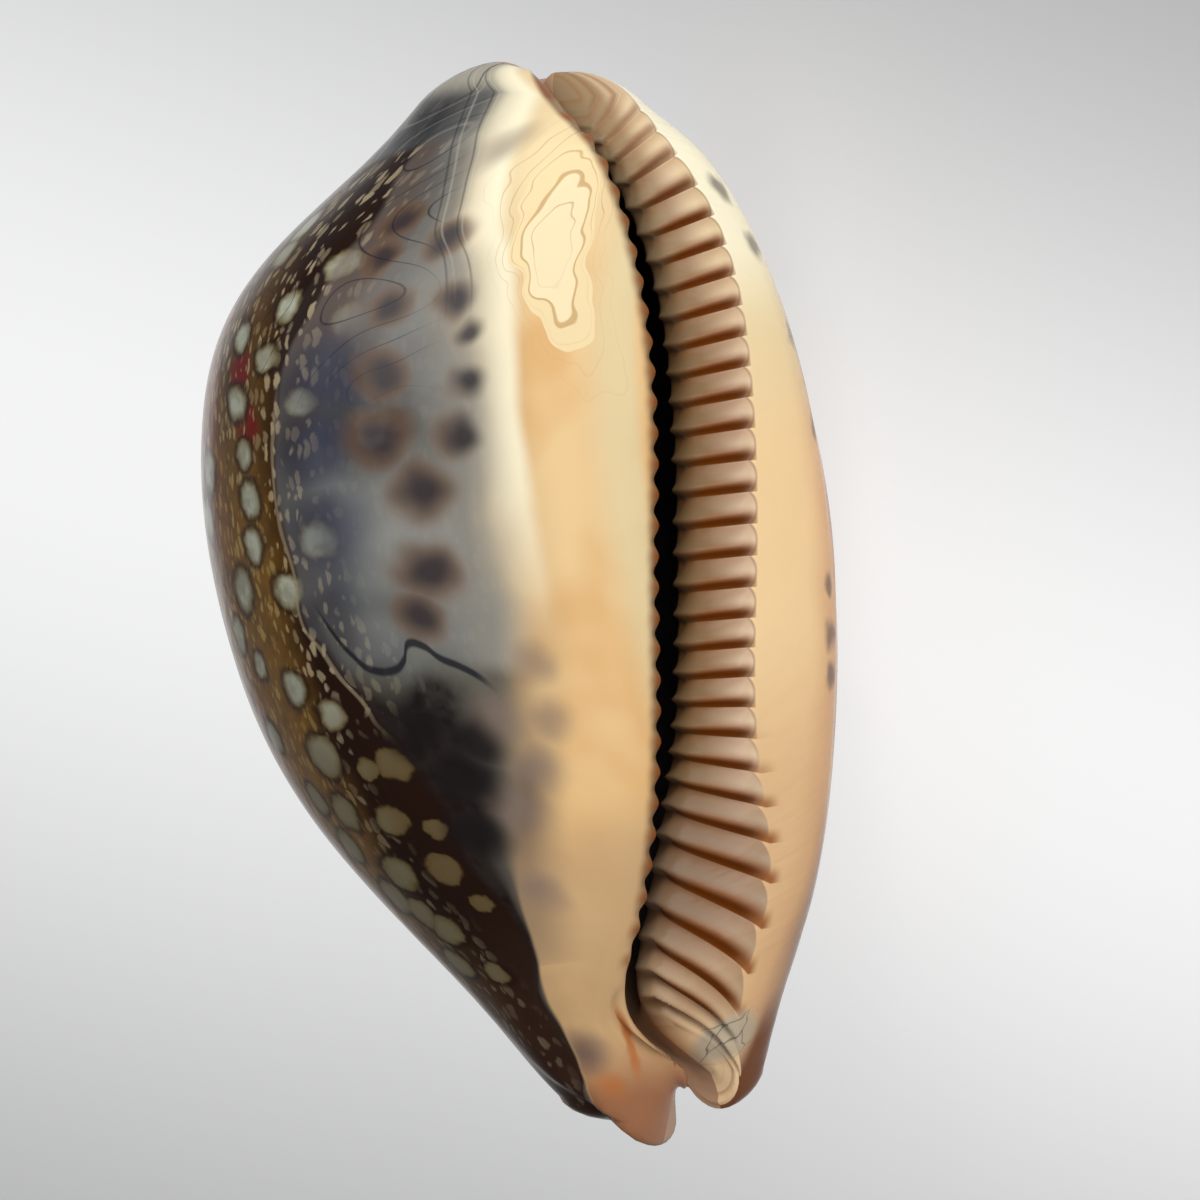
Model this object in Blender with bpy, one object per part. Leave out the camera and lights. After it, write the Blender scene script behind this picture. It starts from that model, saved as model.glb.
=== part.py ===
"""Cowrie shell, lying on the side of its outer lip, as it comes to rest.

The shell is drawn in its own axes first: x from the columellar side (-) to the
outer lip (+), y from the anterior canal (-) to the posterior canal (+), z from
the back to the toothed base.  Lengths are in millimetres.  It is then rolled on
to its side, where +Z is up, +X is the way the base faces and y stays y.
The wall is one closed skin: an outer sheet that rolls under both lips and an
inner sheet that lines the cavity, joined along the slit and round both ends.
"""
import math

import bpy
import bmesh
import numpy as np

MM = 0.001                  # millimetre in metres

# ---------------------------------------------------------------- body
Y_ANTERIOR = -28.4          # first full section, at the anterior canal
BODY_LENGTH = 57.6          # first to last full section
TIP_REACH = 1.7             # how far the rounded rims reach past the sections
STATION = (0.0, 0.06, 0.15, 0.30, 0.50, 0.70, 0.85, 0.94, 1.0)
HALF_WIDTH_COLUMELLAR = (5.5, 8.0, 12.0, 17.5, 20.5, 20.5, 16.5, 10.0, 6.0)
HALF_WIDTH_OUTER = (8.0, 9.5, 12.0, 14.5, 16.0, 15.0, 12.5, 9.5, 7.0)
DORSUM_DEPTH = (4.0, 6.5, 10.5, 18.0, 23.0, 22.0, 15.5, 9.5, 6.0)
BASE_HEIGHT = (2.0, 3.5, 5.0, 6.5, 7.5, 8.5, 8.5, 7.5, 5.0)
SLIT_CENTRE = (3.1, -0.5, -0.6, 0.9, 2.0, 2.8, 2.2, 0.8, 0.5)
SLIT_WIDTH = (1.3, 2.5, 2.5, 2.1, 2.5, 2.3, 1.7, 0.8, 0.7)
LIP_SIZE = (0.3, 0.8, 1.2, 0.9, 0.8, 0.8, 0.78, 0.7, 0.6)
COLUMELLA_SIZE = (0.8, 0.7, 0.8, 1.0, 1.0, 1.0, 1.0, 0.8, 0.6)
MARGIN_LEVEL = 24.0         # height of the margins' widest line, anterior end
MARGIN_FALL = 2.2           # how much lower it is at the posterior end
BASE_SQUARENESS = 2.35      # superellipse exponents of the section
DORSUM_SQUARENESS = 2.1
OUTER_SIDE_SQUARENESS = 2.7  # below the outer margin, which is thickened
REST_ROLL = 88.8            # degrees about y, from base up to resting on the side
REST_PITCH = -0.8           # degrees about x
REST_FLAT = 0.25            # depth of the slightly flattened patch it rests on

# ---------------------------------------------------------------- lips
LIP_BAND = 4.6              # toothed band, crest to slit edge
LIP_ROLL = 3.4              # roll from the slit edge to the hidden edge
BAND_DROP = 32.0            # degrees the band falls away from the base
BAND_CURVE = 14.0           # further turn across the band
ROLL_TURN = 120.0           # turn of the roll under the lip
CANAL_ROLL_TURN = 55.0      # the same in the end canals
COLUMELLA_ROLL = 6.0
COLUMELLA_TURN = 130.0
CANAL_COLUMELLA_TURN = 95.0
LIP_SHARE = 0.24            # share of the sheet's rows on the outer lip
COLUMELLA_SHARE = 0.16

# ---------------------------------------------------------------- wall
WALL_STATION = (0.0, 0.1, 0.3, 0.6, 0.85, 1.0)
WALL_OUTER_MARGIN = (1.8, 2.4, 3.0, 3.2, 2.8, 1.8)
WALL_COLUMELLAR_MARGIN = (1.8, 2.2, 2.5, 2.5, 2.3, 2.0)
WALL_DORSUM_STATION = (0.0, 0.05, 0.12, 0.3, 0.6, 0.85, 0.93, 1.0)
WALL_DORSUM = (2.1, 1.6, 1.3, 1.2, 1.2, 1.4, 1.8, 4.4)
CAVITY_ROWS = (0.0, 0.07, 0.17, 0.30, 0.42, 0.54, 0.66, 0.76, 0.84, 0.92, 1.0)

# ---------------------------------------------------------------- ends
FINGER_REACH = 2.1          # columellar tip past the anterior notch
LIP_TIP_REACH = 1.0         # outer lip tip past the anterior notch
BACK_REACH = 0.7            # back wall beside the columellar tip
LOBE_REACH = 0.9            # columellar lobe past the posterior notch
POSTERIOR_DIP = 0.9
ANTERIOR_LEAN = 0.45        # most that the rounded rims lean out sideways
POSTERIOR_LEAN = 3.0
FLANGE_RISE = 0.7           # columellar finger, standing proud of the back
FLANGE_ANGLE = -206.0       # degrees round the section, at its crease
FLANGE_WIDTH = 0.32         # radians, easing away over the base
FLANGE_STEP = 0.07          # radians, falling to the crease
SHOULDER_STATION = (0.0, 0.16, 0.25, 0.40, 0.70, 0.88, 1.0)
SHOULDER_RISE = (0.0, 0.0, 0.2, 0.5, 0.5, 0.35, 0.0)
SHOULDER_ANGLE = (-204.0, -204.0, -208.0, -219.0, -221.0, -220.0, -215.0)
SHOULDER_WIDTH = 0.15       # radians

# ---------------------------------------------------------------- teeth
PITCH_STATION = (0.0, 0.08, 0.13, 0.22, 0.29, 0.38, 0.48, 0.56, 0.66, 0.80, 0.90, 1.0)
TOOTH_PITCH = (1.5, 1.5, 1.85, 1.9, 1.5, 1.55, 1.75, 1.8, 1.65, 1.65, 1.45, 1.1)
FIRST_TOOTH = 0.073         # station of the first full tooth
FAN_STATION = (0.0, 0.07, 0.14, 0.20, 0.25, 0.30, 0.35, 0.40, 0.60, 0.85, 1.0)
FAN = (4.2, 4.5, 4.2, 3.6, 2.7, 1.7, 0.6, 0.2, 0.0, -1.2, -4.0)
TOOTH_HEIGHT = 0.75         # ridge above flute on the outer lip
TOOTH_LEVEL = 0.40          # share of the height that is cut away
STEEP_SIDE = 0.30           # share of a tooth taken by its steep anterior side
COLUMELLAR_PITCH = 1.75
COLUMELLAR_TOOTH_HEIGHT = 0.30
FURROW_DEPTH = 0.5

# ---------------------------------------------------------------- mesh
RINGS = 236
CAP_RINGS = 5
LIP_ROWS, BODY_ROWS, COLUMELLA_ROWS = 16, 32, 10
TARGET_TRIANGLES = 9600


def spline(stations, values, s):
    """Natural cubic curve through (stations, values) at s."""
    x = np.asarray(stations, float)
    y = np.asarray(values, float)
    n = len(x)
    h = np.diff(x)
    flat = y.reshape(n, -1)
    a = np.eye(n)
    r = np.zeros_like(flat)
    for i in range(1, n - 1):
        a[i, i - 1:i + 2] = h[i - 1], 2 * (h[i - 1] + h[i]), h[i]
        r[i] = 6 * ((flat[i + 1] - flat[i]) / h[i] - (flat[i] - flat[i - 1]) / h[i - 1])
    m = np.linalg.solve(a, r)
    s = np.atleast_1d(np.asarray(s, float))
    i = np.clip(np.searchsorted(x, s) - 1, 0, n - 2)
    t = (s - x[i])[:, None]
    q = (x[i + 1] - s)[:, None]
    w = h[i][:, None]
    out = (m[i] * q ** 3 + m[i + 1] * t ** 3) / (6 * w)
    out += (flat[i] / w - m[i] * w / 6) * q + (flat[i + 1] / w - m[i + 1] * w / 6) * t
    return out.reshape((len(s),) + y.shape[1:])


def smooth(a, b, x):
    """0 below a, 1 above b, eased between."""
    t = np.clip((x - a) / (b - a), 0, 1)
    return t * t * (3 - 2 * t)


def room(s):
    """0 in the end canals, 1 where the cavity is full."""
    return smooth(0.0, 0.17, s) * smooth(0.0, 0.10, 1 - s)


def radius(angle, right, left, up, down):
    """Superellipse radius of a section with four different half axes."""
    c = np.cos(angle)
    k = np.sin(angle)
    w = np.where(c > 0, right, left)
    h = np.where(k > 0, up, down)
    n = np.where(c > 0, OUTER_SIDE_SQUARENESS, DORSUM_SQUARENESS)
    n = np.where(k > 0, BASE_SQUARENESS, n)
    return (np.abs(c / w) ** n + np.abs(k / h) ** n) ** (-1 / n)


def base(x, d):
    """Height of the base above the margin level, and its slope, at x."""
    def height(q):
        w = d["outer"] if q > 0 else d["columellar"]
        f = 1 - min(abs(q / w), 0.98) ** BASE_SQUARENESS
        return d["base"] * f ** (1 / BASE_SQUARENESS)
    slope = (height(x + 0.001) - height(x - 0.001)) / 0.002
    return height(x), math.atan(slope)


def walk(start, heading, length):
    """Path of even steps whose headings are given."""
    step = length / len(heading)
    moves = step * np.c_[np.cos(heading), np.sin(heading)]
    return np.concatenate([[start], start + np.cumsum(moves, 0)])


def resample(path, share):
    """Points at the given shares of a path's length."""
    step = np.hypot(*np.diff(path, axis=0).T)
    a = np.concatenate([[0], np.cumsum(step)])
    a /= a[-1]
    return np.c_[np.interp(share, a, path[:, 0]), np.interp(share, a, path[:, 1])]


def outer_contour(d, rm, v):
    """Outer section from the lip's hidden edge, round the back, to the columella's."""
    t = (np.arange(240) + 0.5) / 240
    # outer lip: crest, sloping band, roll under
    b = LIP_BAND / (LIP_BAND + LIP_ROLL)
    turn = BAND_DROP * smooth(0, 0.16, t) + BAND_CURVE * smooth(0.1, b, t)
    turn += (CANAL_ROLL_TURN + (ROLL_TURN - CANAL_ROLL_TURN) * rm) * np.clip((t - b) / (1 - b), 0, 1)
    size = (LIP_BAND + LIP_ROLL) * d["lip"]
    x = d["slit"] + d["gap"] / 2 + 0.5 * size
    for _ in range(5):
        h, slope = base(x, d)
        lip = walk(np.array([x, h]), math.pi + slope + np.radians(turn), size)
        x += d["slit"] + d["gap"] / 2 - lip[:, 0].min()
    lip = lip[::-1]
    # columellar side: a plain roll into the slit
    total = CANAL_COLUMELLA_TURN + (COLUMELLA_TURN - CANAL_COLUMELLA_TURN) * rm
    turn = total * (0.35 * t + 0.65 * smooth(0.1, 1, t))
    size = COLUMELLA_ROLL * d["roll"]
    x = d["slit"] - d["gap"] / 2 - 0.5 * size
    for _ in range(5):
        h, slope = base(x, d)
        col = walk(np.array([x, h]), slope - np.radians(turn), size)
        x += d["slit"] - d["gap"] / 2 - col[:, 0].max()
    start = math.atan2(lip[-1, 1], lip[-1, 0])
    end = math.atan2(col[0, 1], col[0, 0]) - 2 * math.pi
    angle = np.linspace(start, end, 720)
    r = radius(angle, d["outer"], d["columellar"], d["base"], d["dorsum"])
    # finger with a crease on its back side, and the columellar shoulder
    off = angle - math.radians(FLANGE_ANGLE)
    off = np.where(off > 0, off / FLANGE_STEP, off / FLANGE_WIDTH)
    r = r + d["flange"] * np.exp(-off * off)
    off = (angle - d["shoulder_angle"]) / SHOULDER_WIDTH
    r = r + d["shoulder"] * np.exp(-off * off)
    body = np.c_[r * np.cos(angle), r * np.sin(angle)]
    out = np.empty((len(v), 2))
    on_lip = v <= LIP_SHARE
    on_col = v >= 1 - COLUMELLA_SHARE
    on_body = ~on_lip & ~on_col
    out[on_lip] = resample(lip, v[on_lip] / LIP_SHARE)
    out[on_body] = resample(body, (v[on_body] - LIP_SHARE) / (1 - COLUMELLA_SHARE - LIP_SHARE))
    out[on_col] = resample(col, (v[on_col] - 1 + COLUMELLA_SHARE) / COLUMELLA_SHARE)
    out[:, 1] += d["margin"]
    return out


def cavity_contour(d, rm, edge_lip, edge_col, v):
    """Inner section between the two hidden edges of the slit."""
    right = d["outer"] - d["wall_outer"]
    left = d["columellar"] - d["wall_columellar"]
    down = d["dorsum"] - d["wall_dorsum"]
    up = max(d["base"] - 2.5, 0.6)

    def at(degrees):
        a = math.radians(degrees)
        r = float(radius(np.array(a), right, left, up, down))
        return np.array([r * math.cos(a), d["margin"] + r * math.sin(a)])

    lobe = edge_col[1] - min(3.0, 0.33 * down)
    under = 0.55 * at(10) + 0.45 * edge_lip
    under[1] = min(under[1], edge_lip[1] - 0.3)
    wide = edge_col[0] + left
    full = np.array([
        edge_lip, under, at(-12), at(-48), at(-85), at(-122), at(-155),
        [0.2 * wide - left, d["margin"] + 0.1 - 0.06 * down],
        [0.55 * wide - left, lobe - 0.04 * down],
        [0.86 * wide - left, lobe + 0.28 * (edge_col[1] - lobe)],
        edge_col])
    # canal: a U hanging between the two edges
    middle = (edge_lip[0] + edge_col[0]) / 2
    half = (edge_lip[0] - edge_col[0]) / 2
    floor = d["margin"] - down + 0.35 * half
    deep = max(0.5 * (edge_lip[1] + edge_col[1]) - floor, 0.8)
    a = np.radians([0, -20, -42, -64, -86, -108, -130, -150, -164, -174, -180])
    across = middle + half * np.sign(np.cos(a)) * np.abs(np.cos(a)) ** 0.7
    top = np.interp(a, [-math.pi, 0], [edge_col[1], edge_lip[1]])
    canal = np.c_[across, top - deep * np.abs(np.sin(a)) ** 0.9]
    canal[0] = edge_lip
    canal[-1] = edge_col
    mix = float(smooth(0.05, 0.85, rm))
    return spline(CAVITY_ROWS, (1 - mix) * canal + mix * full, v)


def end_shift(s, v):
    """Lengthwise shift that shapes the notches and tips of both ends."""
    anterior = math.exp(-(s / 0.075) ** 2)
    posterior = math.exp(-((1 - s) / 0.06) ** 2)
    finger = np.exp(-((v - 0.790) / 0.036) ** 2) - 0.35 * np.exp(-((v - 0.875) / 0.03) ** 2)
    lip_tip = np.exp(-((v - 0.25) / 0.06) ** 2)
    back = np.exp(-((v - 0.72) / 0.08) ** 2)
    lobe = np.exp(-((v - 0.73) / 0.10) ** 2)
    shift = -anterior * (FINGER_REACH * finger + LIP_TIP_REACH * lip_tip + BACK_REACH * back)
    return shift + posterior * (LOBE_REACH * lobe - POSTERIOR_DIP)


def rim(end, near, sign, most_lean):
    """Rounded rings that close the wall's end, outer and inner together."""
    outer, inner = end
    thick = np.linalg.norm(outer - inner, axis=1)
    h = np.minimum(0.5 * thick, TIP_REACH)[:, None]
    control = []
    for edge, before in zip(end, near):
        lean = (edge - before) / np.abs(edge[:, 1:2] - before[:, 1:2])
        lean[:, 1] = 0
        lean *= h
        size = np.linalg.norm(lean, axis=1)[:, None] + 1e-9
        lean *= np.minimum(1, np.minimum(0.42 * thick[:, None], most_lean) / size)
        control.append(edge + lean + np.array([0, sign, 0]) * h)
    crest = (control[0] + control[1]) / 2
    rings = ([], [])
    for k in range(1, CAP_RINGS + 1):
        t = k / CAP_RINGS
        w = ((1 - t) ** 2, 2 * t * (1 - t) * math.sqrt(0.5), t * t)
        for side in (0, 1):
            p = w[0] * end[side] + w[1] * control[side] + w[2] * crest
            rings[side].append(p / sum(w))
    return rings


def ridge(phase, across):
    """Height of a tooth, 0 in its flute: steep on one side and swelling to the crest."""
    u = phase - np.floor(phase)
    fullness = 1.5 - 0.9 * smooth(0.3, 0.9, across)
    return smooth(0.0, STEEP_SIDE, u) * (1 - u) ** fullness


def tooth_count(s):
    """Running number of teeth along the outer lip."""
    g = np.linspace(0, 1, 801)
    rate = BODY_LENGTH / spline(PITCH_STATION, TOOTH_PITCH, g)
    n = np.concatenate([[0], np.cumsum((rate[1:] + rate[:-1]) / 2) * (g[1] - g[0])])
    return np.interp(s, g, n) - np.interp(FIRST_TOOTH, g, n)


def teeth(sheet, s, v):
    """Cut the flutes between the teeth of both lips into the outer sheet."""
    along = np.gradient(sheet, axis=0)
    across = np.gradient(sheet, axis=1)
    n = np.cross(across, along)
    n /= np.linalg.norm(n, axis=-1, keepdims=True) + 1e-12
    ss = s[:, None]
    # outer lip: w is 0 at the slit and 1 at the crest
    w = np.clip(1 - np.clip(1 - v[None, :] / LIP_SHARE, 0, 1) / 0.72, 0, 1)
    tip = ss + 0 * w
    for _ in range(4):
        tip = ss + np.interp(tip, FAN_STATION, FAN) / BODY_LENGTH * w
    phase = tooth_count(tip)
    u = phase - np.floor(phase)
    end = 0.91 + 0.06 * (4 * (u - 0.45) ** 2 + 1 - smooth(0.08, 0.25, ss))
    wall = 0.15 + 0.15 * (1 - smooth(0.12, 0.28, ss))
    depth = smooth(0.0, wall, end - w) * smooth(0.0, 0.2, v[None, :] / LIP_SHARE)
    depth = depth * (v[None, :] < LIP_SHARE) * smooth(-0.7, -0.3, phase) * smooth(0.0, 0.12, 1 - ss)
    depth = depth * (1.6 - 0.6 * smooth(0.0, 0.35, w))
    cut = TOOTH_HEIGHT * depth * (TOOTH_LEVEL - ridge(phase, w))
    # columella: small rounded teeth on the roll
    t = np.clip((v[None, :] - 1 + COLUMELLA_SHARE) / COLUMELLA_SHARE, 0, 1)
    phase = BODY_LENGTH * ss / COLUMELLAR_PITCH + 0 * t
    depth = smooth(0.2, 0.5, t) * (1 - smooth(0.9, 1.0, t)) * smooth(0.09, 0.18, ss)
    depth = depth * smooth(0.0, 0.06, 1 - ss)
    cut = cut - COLUMELLAR_TOOTH_HEIGHT * depth * (0.1 + 0.5 * np.cos(2 * math.pi * phase))
    # fossula: a furrow down the inner face of the columellar tip
    middle = 0.12 + 3.2 * ss
    furrow = np.exp(-((t - middle) / 0.10) ** 2) * smooth(0.0, 0.15, t) * smooth(-0.01, 0.03, ss)
    cut = cut + FURROW_DEPTH * furrow * (1 - smooth(0.07, 0.10, ss))
    return sheet - n * cut[..., None]


def sheets(rings, rows):
    """Outer and inner sheets as (ring, row, xyz) arrays."""
    n_lip, n_body, n_col = rows
    v = np.concatenate([
        np.linspace(0, LIP_SHARE, n_lip, endpoint=False),
        np.linspace(LIP_SHARE, 1 - COLUMELLA_SHARE, n_body, endpoint=False),
        np.linspace(1 - COLUMELLA_SHARE, 1, n_col + 1)])
    s = np.linspace(0, 1, rings)
    curves = {
        "columellar": HALF_WIDTH_COLUMELLAR, "outer": HALF_WIDTH_OUTER, "dorsum": DORSUM_DEPTH,
        "base": BASE_HEIGHT, "slit": SLIT_CENTRE, "gap": SLIT_WIDTH,
        "lip": LIP_SIZE, "roll": COLUMELLA_SIZE}
    table = {k: spline(STATION, c, s) for k, c in curves.items()}
    table["margin"] = MARGIN_LEVEL - MARGIN_FALL * s ** 3
    table["wall_outer"] = spline(WALL_STATION, WALL_OUTER_MARGIN, s)
    table["wall_columellar"] = spline(WALL_STATION, WALL_COLUMELLAR_MARGIN, s)
    table["wall_dorsum"] = spline(WALL_DORSUM_STATION, WALL_DORSUM, s)
    table["flange"] = FLANGE_RISE * (1 - smooth(0.10, 0.32, s))
    table["shoulder"] = spline(SHOULDER_STATION, SHOULDER_RISE, s)
    table["shoulder_angle"] = np.interp(s, SHOULDER_STATION, np.radians(SHOULDER_ANGLE))
    outer, inner = [], []
    for i, si in enumerate(s):
        d = {k: float(c[i]) for k, c in table.items()}
        rm = float(room(si))
        o = outer_contour(d, rm, v)
        c = cavity_contour(d, rm, o[0], o[-1], v)
        y = Y_ANTERIOR + BODY_LENGTH * si + end_shift(si, v)
        outer.append(np.c_[o[:, 0], y, o[:, 1]])
        inner.append(np.c_[c[:, 0], y, c[:, 1]])
    outer = teeth(np.array(outer), s, v)
    inner = np.array(inner)
    a = rim((outer[0], inner[0]), (outer[2], inner[2]), -1, ANTERIOR_LEAN)
    b = rim((outer[-1], inner[-1]), (outer[-3], inner[-3]), 1, POSTERIOR_LEAN)
    outer = np.array(a[0][::-1] + list(outer) + b[0])
    inner = np.array(a[1][::-1] + list(inner) + b[1])
    return outer, inner


def lie_down(outer, inner):
    """Roll both sheets on to the outer lip's side and set them on the ground.

    The origin is under the middle of the box that the shell fills.
    """
    a = math.radians(REST_ROLL)
    b = math.radians(REST_PITCH)
    roll = np.array([[math.cos(a), 0, math.sin(a)], [0, 1, 0], [-math.sin(a), 0, math.cos(a)]])
    pitch = np.array([[1, 0, 0], [0, math.cos(b), -math.sin(b)], [0, math.sin(b), math.cos(b)]])
    turn = (pitch @ roll).T
    outer = outer @ turn
    inner = inner @ turn
    low = outer.min((0, 1)) + [0, 0, REST_FLAT]
    high = outer.max((0, 1))
    outer[..., 2] = np.maximum(outer[..., 2], low[2])
    ground = np.array([(low[0] + high[0]) / 2, (low[1] + high[1]) / 2, low[2]])
    return outer - ground, inner - ground


def lay_grid(mesh, points, flip):
    """Add a grid to the mesh and move its corners onto the given points."""
    nu, nv = points.shape[:2]
    made = bmesh.ops.create_grid(mesh, x_segments=nu - 1, y_segments=nv - 1, size=0.5)
    for vert in made["verts"]:
        i = round((vert.co.x + 0.5) * (nu - 1))
        j = round((vert.co.y + 0.5) * (nv - 1))
        vert.co = [float(q) * MM for q in points[i, j]]
    if flip:
        faces = list({f for vert in made["verts"] for f in vert.link_faces})
        bmesh.ops.reverse_faces(mesh, faces=faces)


def shell_material():
    """Glossy cream porcelain-like shell."""
    material = bpy.data.materials.new("glossy cream shell")
    material.use_nodes = True
    shader = material.node_tree.nodes["Principled BSDF"]
    shader.inputs["Base Color"].default_value = (0.72, 0.52, 0.31, 1.0)
    shader.inputs["Roughness"].default_value = 0.18
    material.diffuse_color = (0.72, 0.52, 0.31, 1.0)
    return material


for thing in list(bpy.data.objects):
    bpy.data.objects.remove(thing, do_unlink=True)

group = bpy.data.collections.new("cowrie shell")
bpy.context.scene.collection.children.link(group)

outer_sheet, inner_sheet = lie_down(*sheets(RINGS, (LIP_ROWS, BODY_ROWS, COLUMELLA_ROWS)))
build = bmesh.new()
lay_grid(build, outer_sheet, flip=True)
lay_grid(build, inner_sheet, flip=False)
bmesh.ops.remove_doubles(build, verts=build.verts, dist=0.000002)
bmesh.ops.dissolve_degenerate(build, edges=build.edges, dist=0.000002)
bmesh.ops.recalc_face_normals(build, faces=build.faces)
data = bpy.data.meshes.new("cowrie_shell")
build.to_mesh(data)
build.free()
shell = bpy.data.objects.new("cowrie_shell", data)
group.objects.link(shell)
shell.data.materials.append(shell_material())

triangles = sum(len(p.vertices) - 2 for p in shell.data.polygons)
thin = shell.modifiers.new("fewer faces", "DECIMATE")
thin.ratio = TARGET_TRIANGLES / triangles
bpy.context.view_layer.objects.active = shell
bpy.ops.object.modifier_apply(modifier=thin.name)
print("cowrie_shell", triangles, "->", len(shell.data.polygons), "faces")
print("size mm", [round(q * 1000, 2) for q in shell.dimensions])
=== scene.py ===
# %% [markdown]
# # A cowrie shell
# The shell lies on the side of its outer lip.  It is one piece of glazed, layered
# shell: a swollen body rolled round a long slit, with a row of teeth on each side
# of it.  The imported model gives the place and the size.  Everything here is drawn
# round it in the same frame, so nothing has to be fitted by eye.

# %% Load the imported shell
import math

import bmesh
import bpy
import numpy as np
from mathutils import Matrix, Vector


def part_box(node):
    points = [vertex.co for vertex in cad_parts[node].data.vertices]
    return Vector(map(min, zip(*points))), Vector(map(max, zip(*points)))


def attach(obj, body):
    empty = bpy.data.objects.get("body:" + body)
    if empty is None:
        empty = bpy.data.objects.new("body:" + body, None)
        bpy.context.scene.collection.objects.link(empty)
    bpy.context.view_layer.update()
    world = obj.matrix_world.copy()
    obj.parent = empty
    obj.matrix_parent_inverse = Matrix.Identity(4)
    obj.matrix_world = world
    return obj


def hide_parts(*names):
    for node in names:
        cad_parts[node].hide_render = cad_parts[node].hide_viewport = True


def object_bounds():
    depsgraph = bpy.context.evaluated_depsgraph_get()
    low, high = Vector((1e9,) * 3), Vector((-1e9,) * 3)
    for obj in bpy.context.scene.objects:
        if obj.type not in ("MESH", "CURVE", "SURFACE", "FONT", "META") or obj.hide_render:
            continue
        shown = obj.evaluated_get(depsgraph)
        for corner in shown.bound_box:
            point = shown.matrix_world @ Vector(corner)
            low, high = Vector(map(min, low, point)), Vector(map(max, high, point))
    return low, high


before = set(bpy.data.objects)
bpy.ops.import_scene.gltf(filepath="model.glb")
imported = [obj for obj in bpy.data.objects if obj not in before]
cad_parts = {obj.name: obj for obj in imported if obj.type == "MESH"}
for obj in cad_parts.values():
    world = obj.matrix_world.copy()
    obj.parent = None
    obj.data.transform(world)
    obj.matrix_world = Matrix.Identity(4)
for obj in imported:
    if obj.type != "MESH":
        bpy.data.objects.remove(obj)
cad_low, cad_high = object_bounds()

MM = 0.001
print("shell box, mm:", [round(1000 * q, 1) for q in cad_high - cad_low])

# %% [markdown]
# ## The body's measures
# A cowrie's whorls are hidden inside the last one, so the body can be drawn as a
# row of cross sections from the anterior canal to the posterior one.  Each section
# needs its width on both sides, its depth below the margins and its height above
# them.  The shell's own axes are used for this: x from the columellar side to the
# outer lip, y along the slit, z from the back to the base.  A smooth curve through
# nine stations gives a rounder form than a modelled cage, and keeps each measure
# in plain sight.

# %% Measures of the sections, in millimetres
Y_ANTERIOR = -28.4
BODY_LENGTH = 57.6
TIP_REACH = 1.7
STATION = (0.0, 0.06, 0.15, 0.30, 0.50, 0.70, 0.85, 0.94, 1.0)
SECTION = {
    "columellar": (5.5, 8.0, 12.0, 17.5, 20.5, 20.5, 16.5, 10.0, 6.0),
    "outer": (8.0, 9.5, 12.0, 14.5, 16.0, 15.0, 12.5, 9.5, 7.0),
    "dorsum": (4.0, 6.5, 10.5, 18.0, 23.0, 22.0, 15.5, 9.5, 6.0),
    "base": (2.0, 3.5, 5.0, 6.5, 7.5, 8.5, 8.5, 7.5, 5.0),
    "slit": (3.1, -0.5, -0.6, 0.9, 2.0, 2.8, 2.2, 0.8, 0.5),
    "gap": (1.3, 2.5, 2.5, 2.1, 2.5, 2.3, 1.7, 0.8, 0.7),
    "lip": (0.3, 0.8, 1.2, 0.9, 0.8, 0.8, 0.78, 0.7, 0.6),
    "roll": (0.8, 0.7, 0.8, 1.0, 1.0, 1.0, 1.0, 0.8, 0.6),
}
MARGIN_LEVEL = 24.0
MARGIN_FALL = 2.2
BASE_SQUARENESS = 2.35
DORSUM_SQUARENESS = 2.1
OUTER_SIDE_SQUARENESS = 2.7
FLANGE_RISE = 0.7
FLANGE_ANGLE = -206.0
FLANGE_WIDTH = 0.32
FLANGE_STEP = 0.07
SHOULDER_STATION = (0.0, 0.16, 0.25, 0.40, 0.70, 0.88, 1.0)
SHOULDER_RISE = (0.0, 0.0, 0.2, 0.5, 0.5, 0.35, 0.0)
SHOULDER_ANGLE = (-204.0, -204.0, -208.0, -219.0, -221.0, -220.0, -215.0)
SHOULDER_WIDTH = 0.15
REST_ROLL = math.radians(88.8)
REST_PITCH = math.radians(-0.8)
REST_FLAT = 0.25 * MM
RINGS = 400
END_RINGS = 6


def spline(stations, values, s):
    """Natural cubic curve through (stations, values) at s."""
    x = np.asarray(stations, float)
    y = np.asarray(values, float)
    n = len(x)
    h = np.diff(x)
    flat = y.reshape(n, -1)
    a = np.eye(n)
    r = np.zeros_like(flat)
    for i in range(1, n - 1):
        a[i, i - 1:i + 2] = h[i - 1], 2 * (h[i - 1] + h[i]), h[i]
        r[i] = 6 * ((flat[i + 1] - flat[i]) / h[i] - (flat[i] - flat[i - 1]) / h[i - 1])
    m = np.linalg.solve(a, r)
    s = np.atleast_1d(np.asarray(s, float))
    i = np.clip(np.searchsorted(x, s) - 1, 0, n - 2)
    t = (s - x[i])[:, None]
    q = (x[i + 1] - s)[:, None]
    w = h[i][:, None]
    out = (m[i] * q ** 3 + m[i + 1] * t ** 3) / (6 * w)
    out += (flat[i] / w - m[i] * w / 6) * q + (flat[i + 1] / w - m[i + 1] * w / 6) * t
    return out.reshape((len(s),) + y.shape[1:])


def smooth(a, b, x):
    """0 below a, 1 above b, eased between."""
    t = np.clip((x - a) / (b - a), 0, 1)
    return t * t * (3 - 2 * t)


def room(s):
    """0 in the end canals, 1 where the cavity is full."""
    return smooth(0.0, 0.17, s) * smooth(0.0, 0.10, 1 - s)


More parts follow.
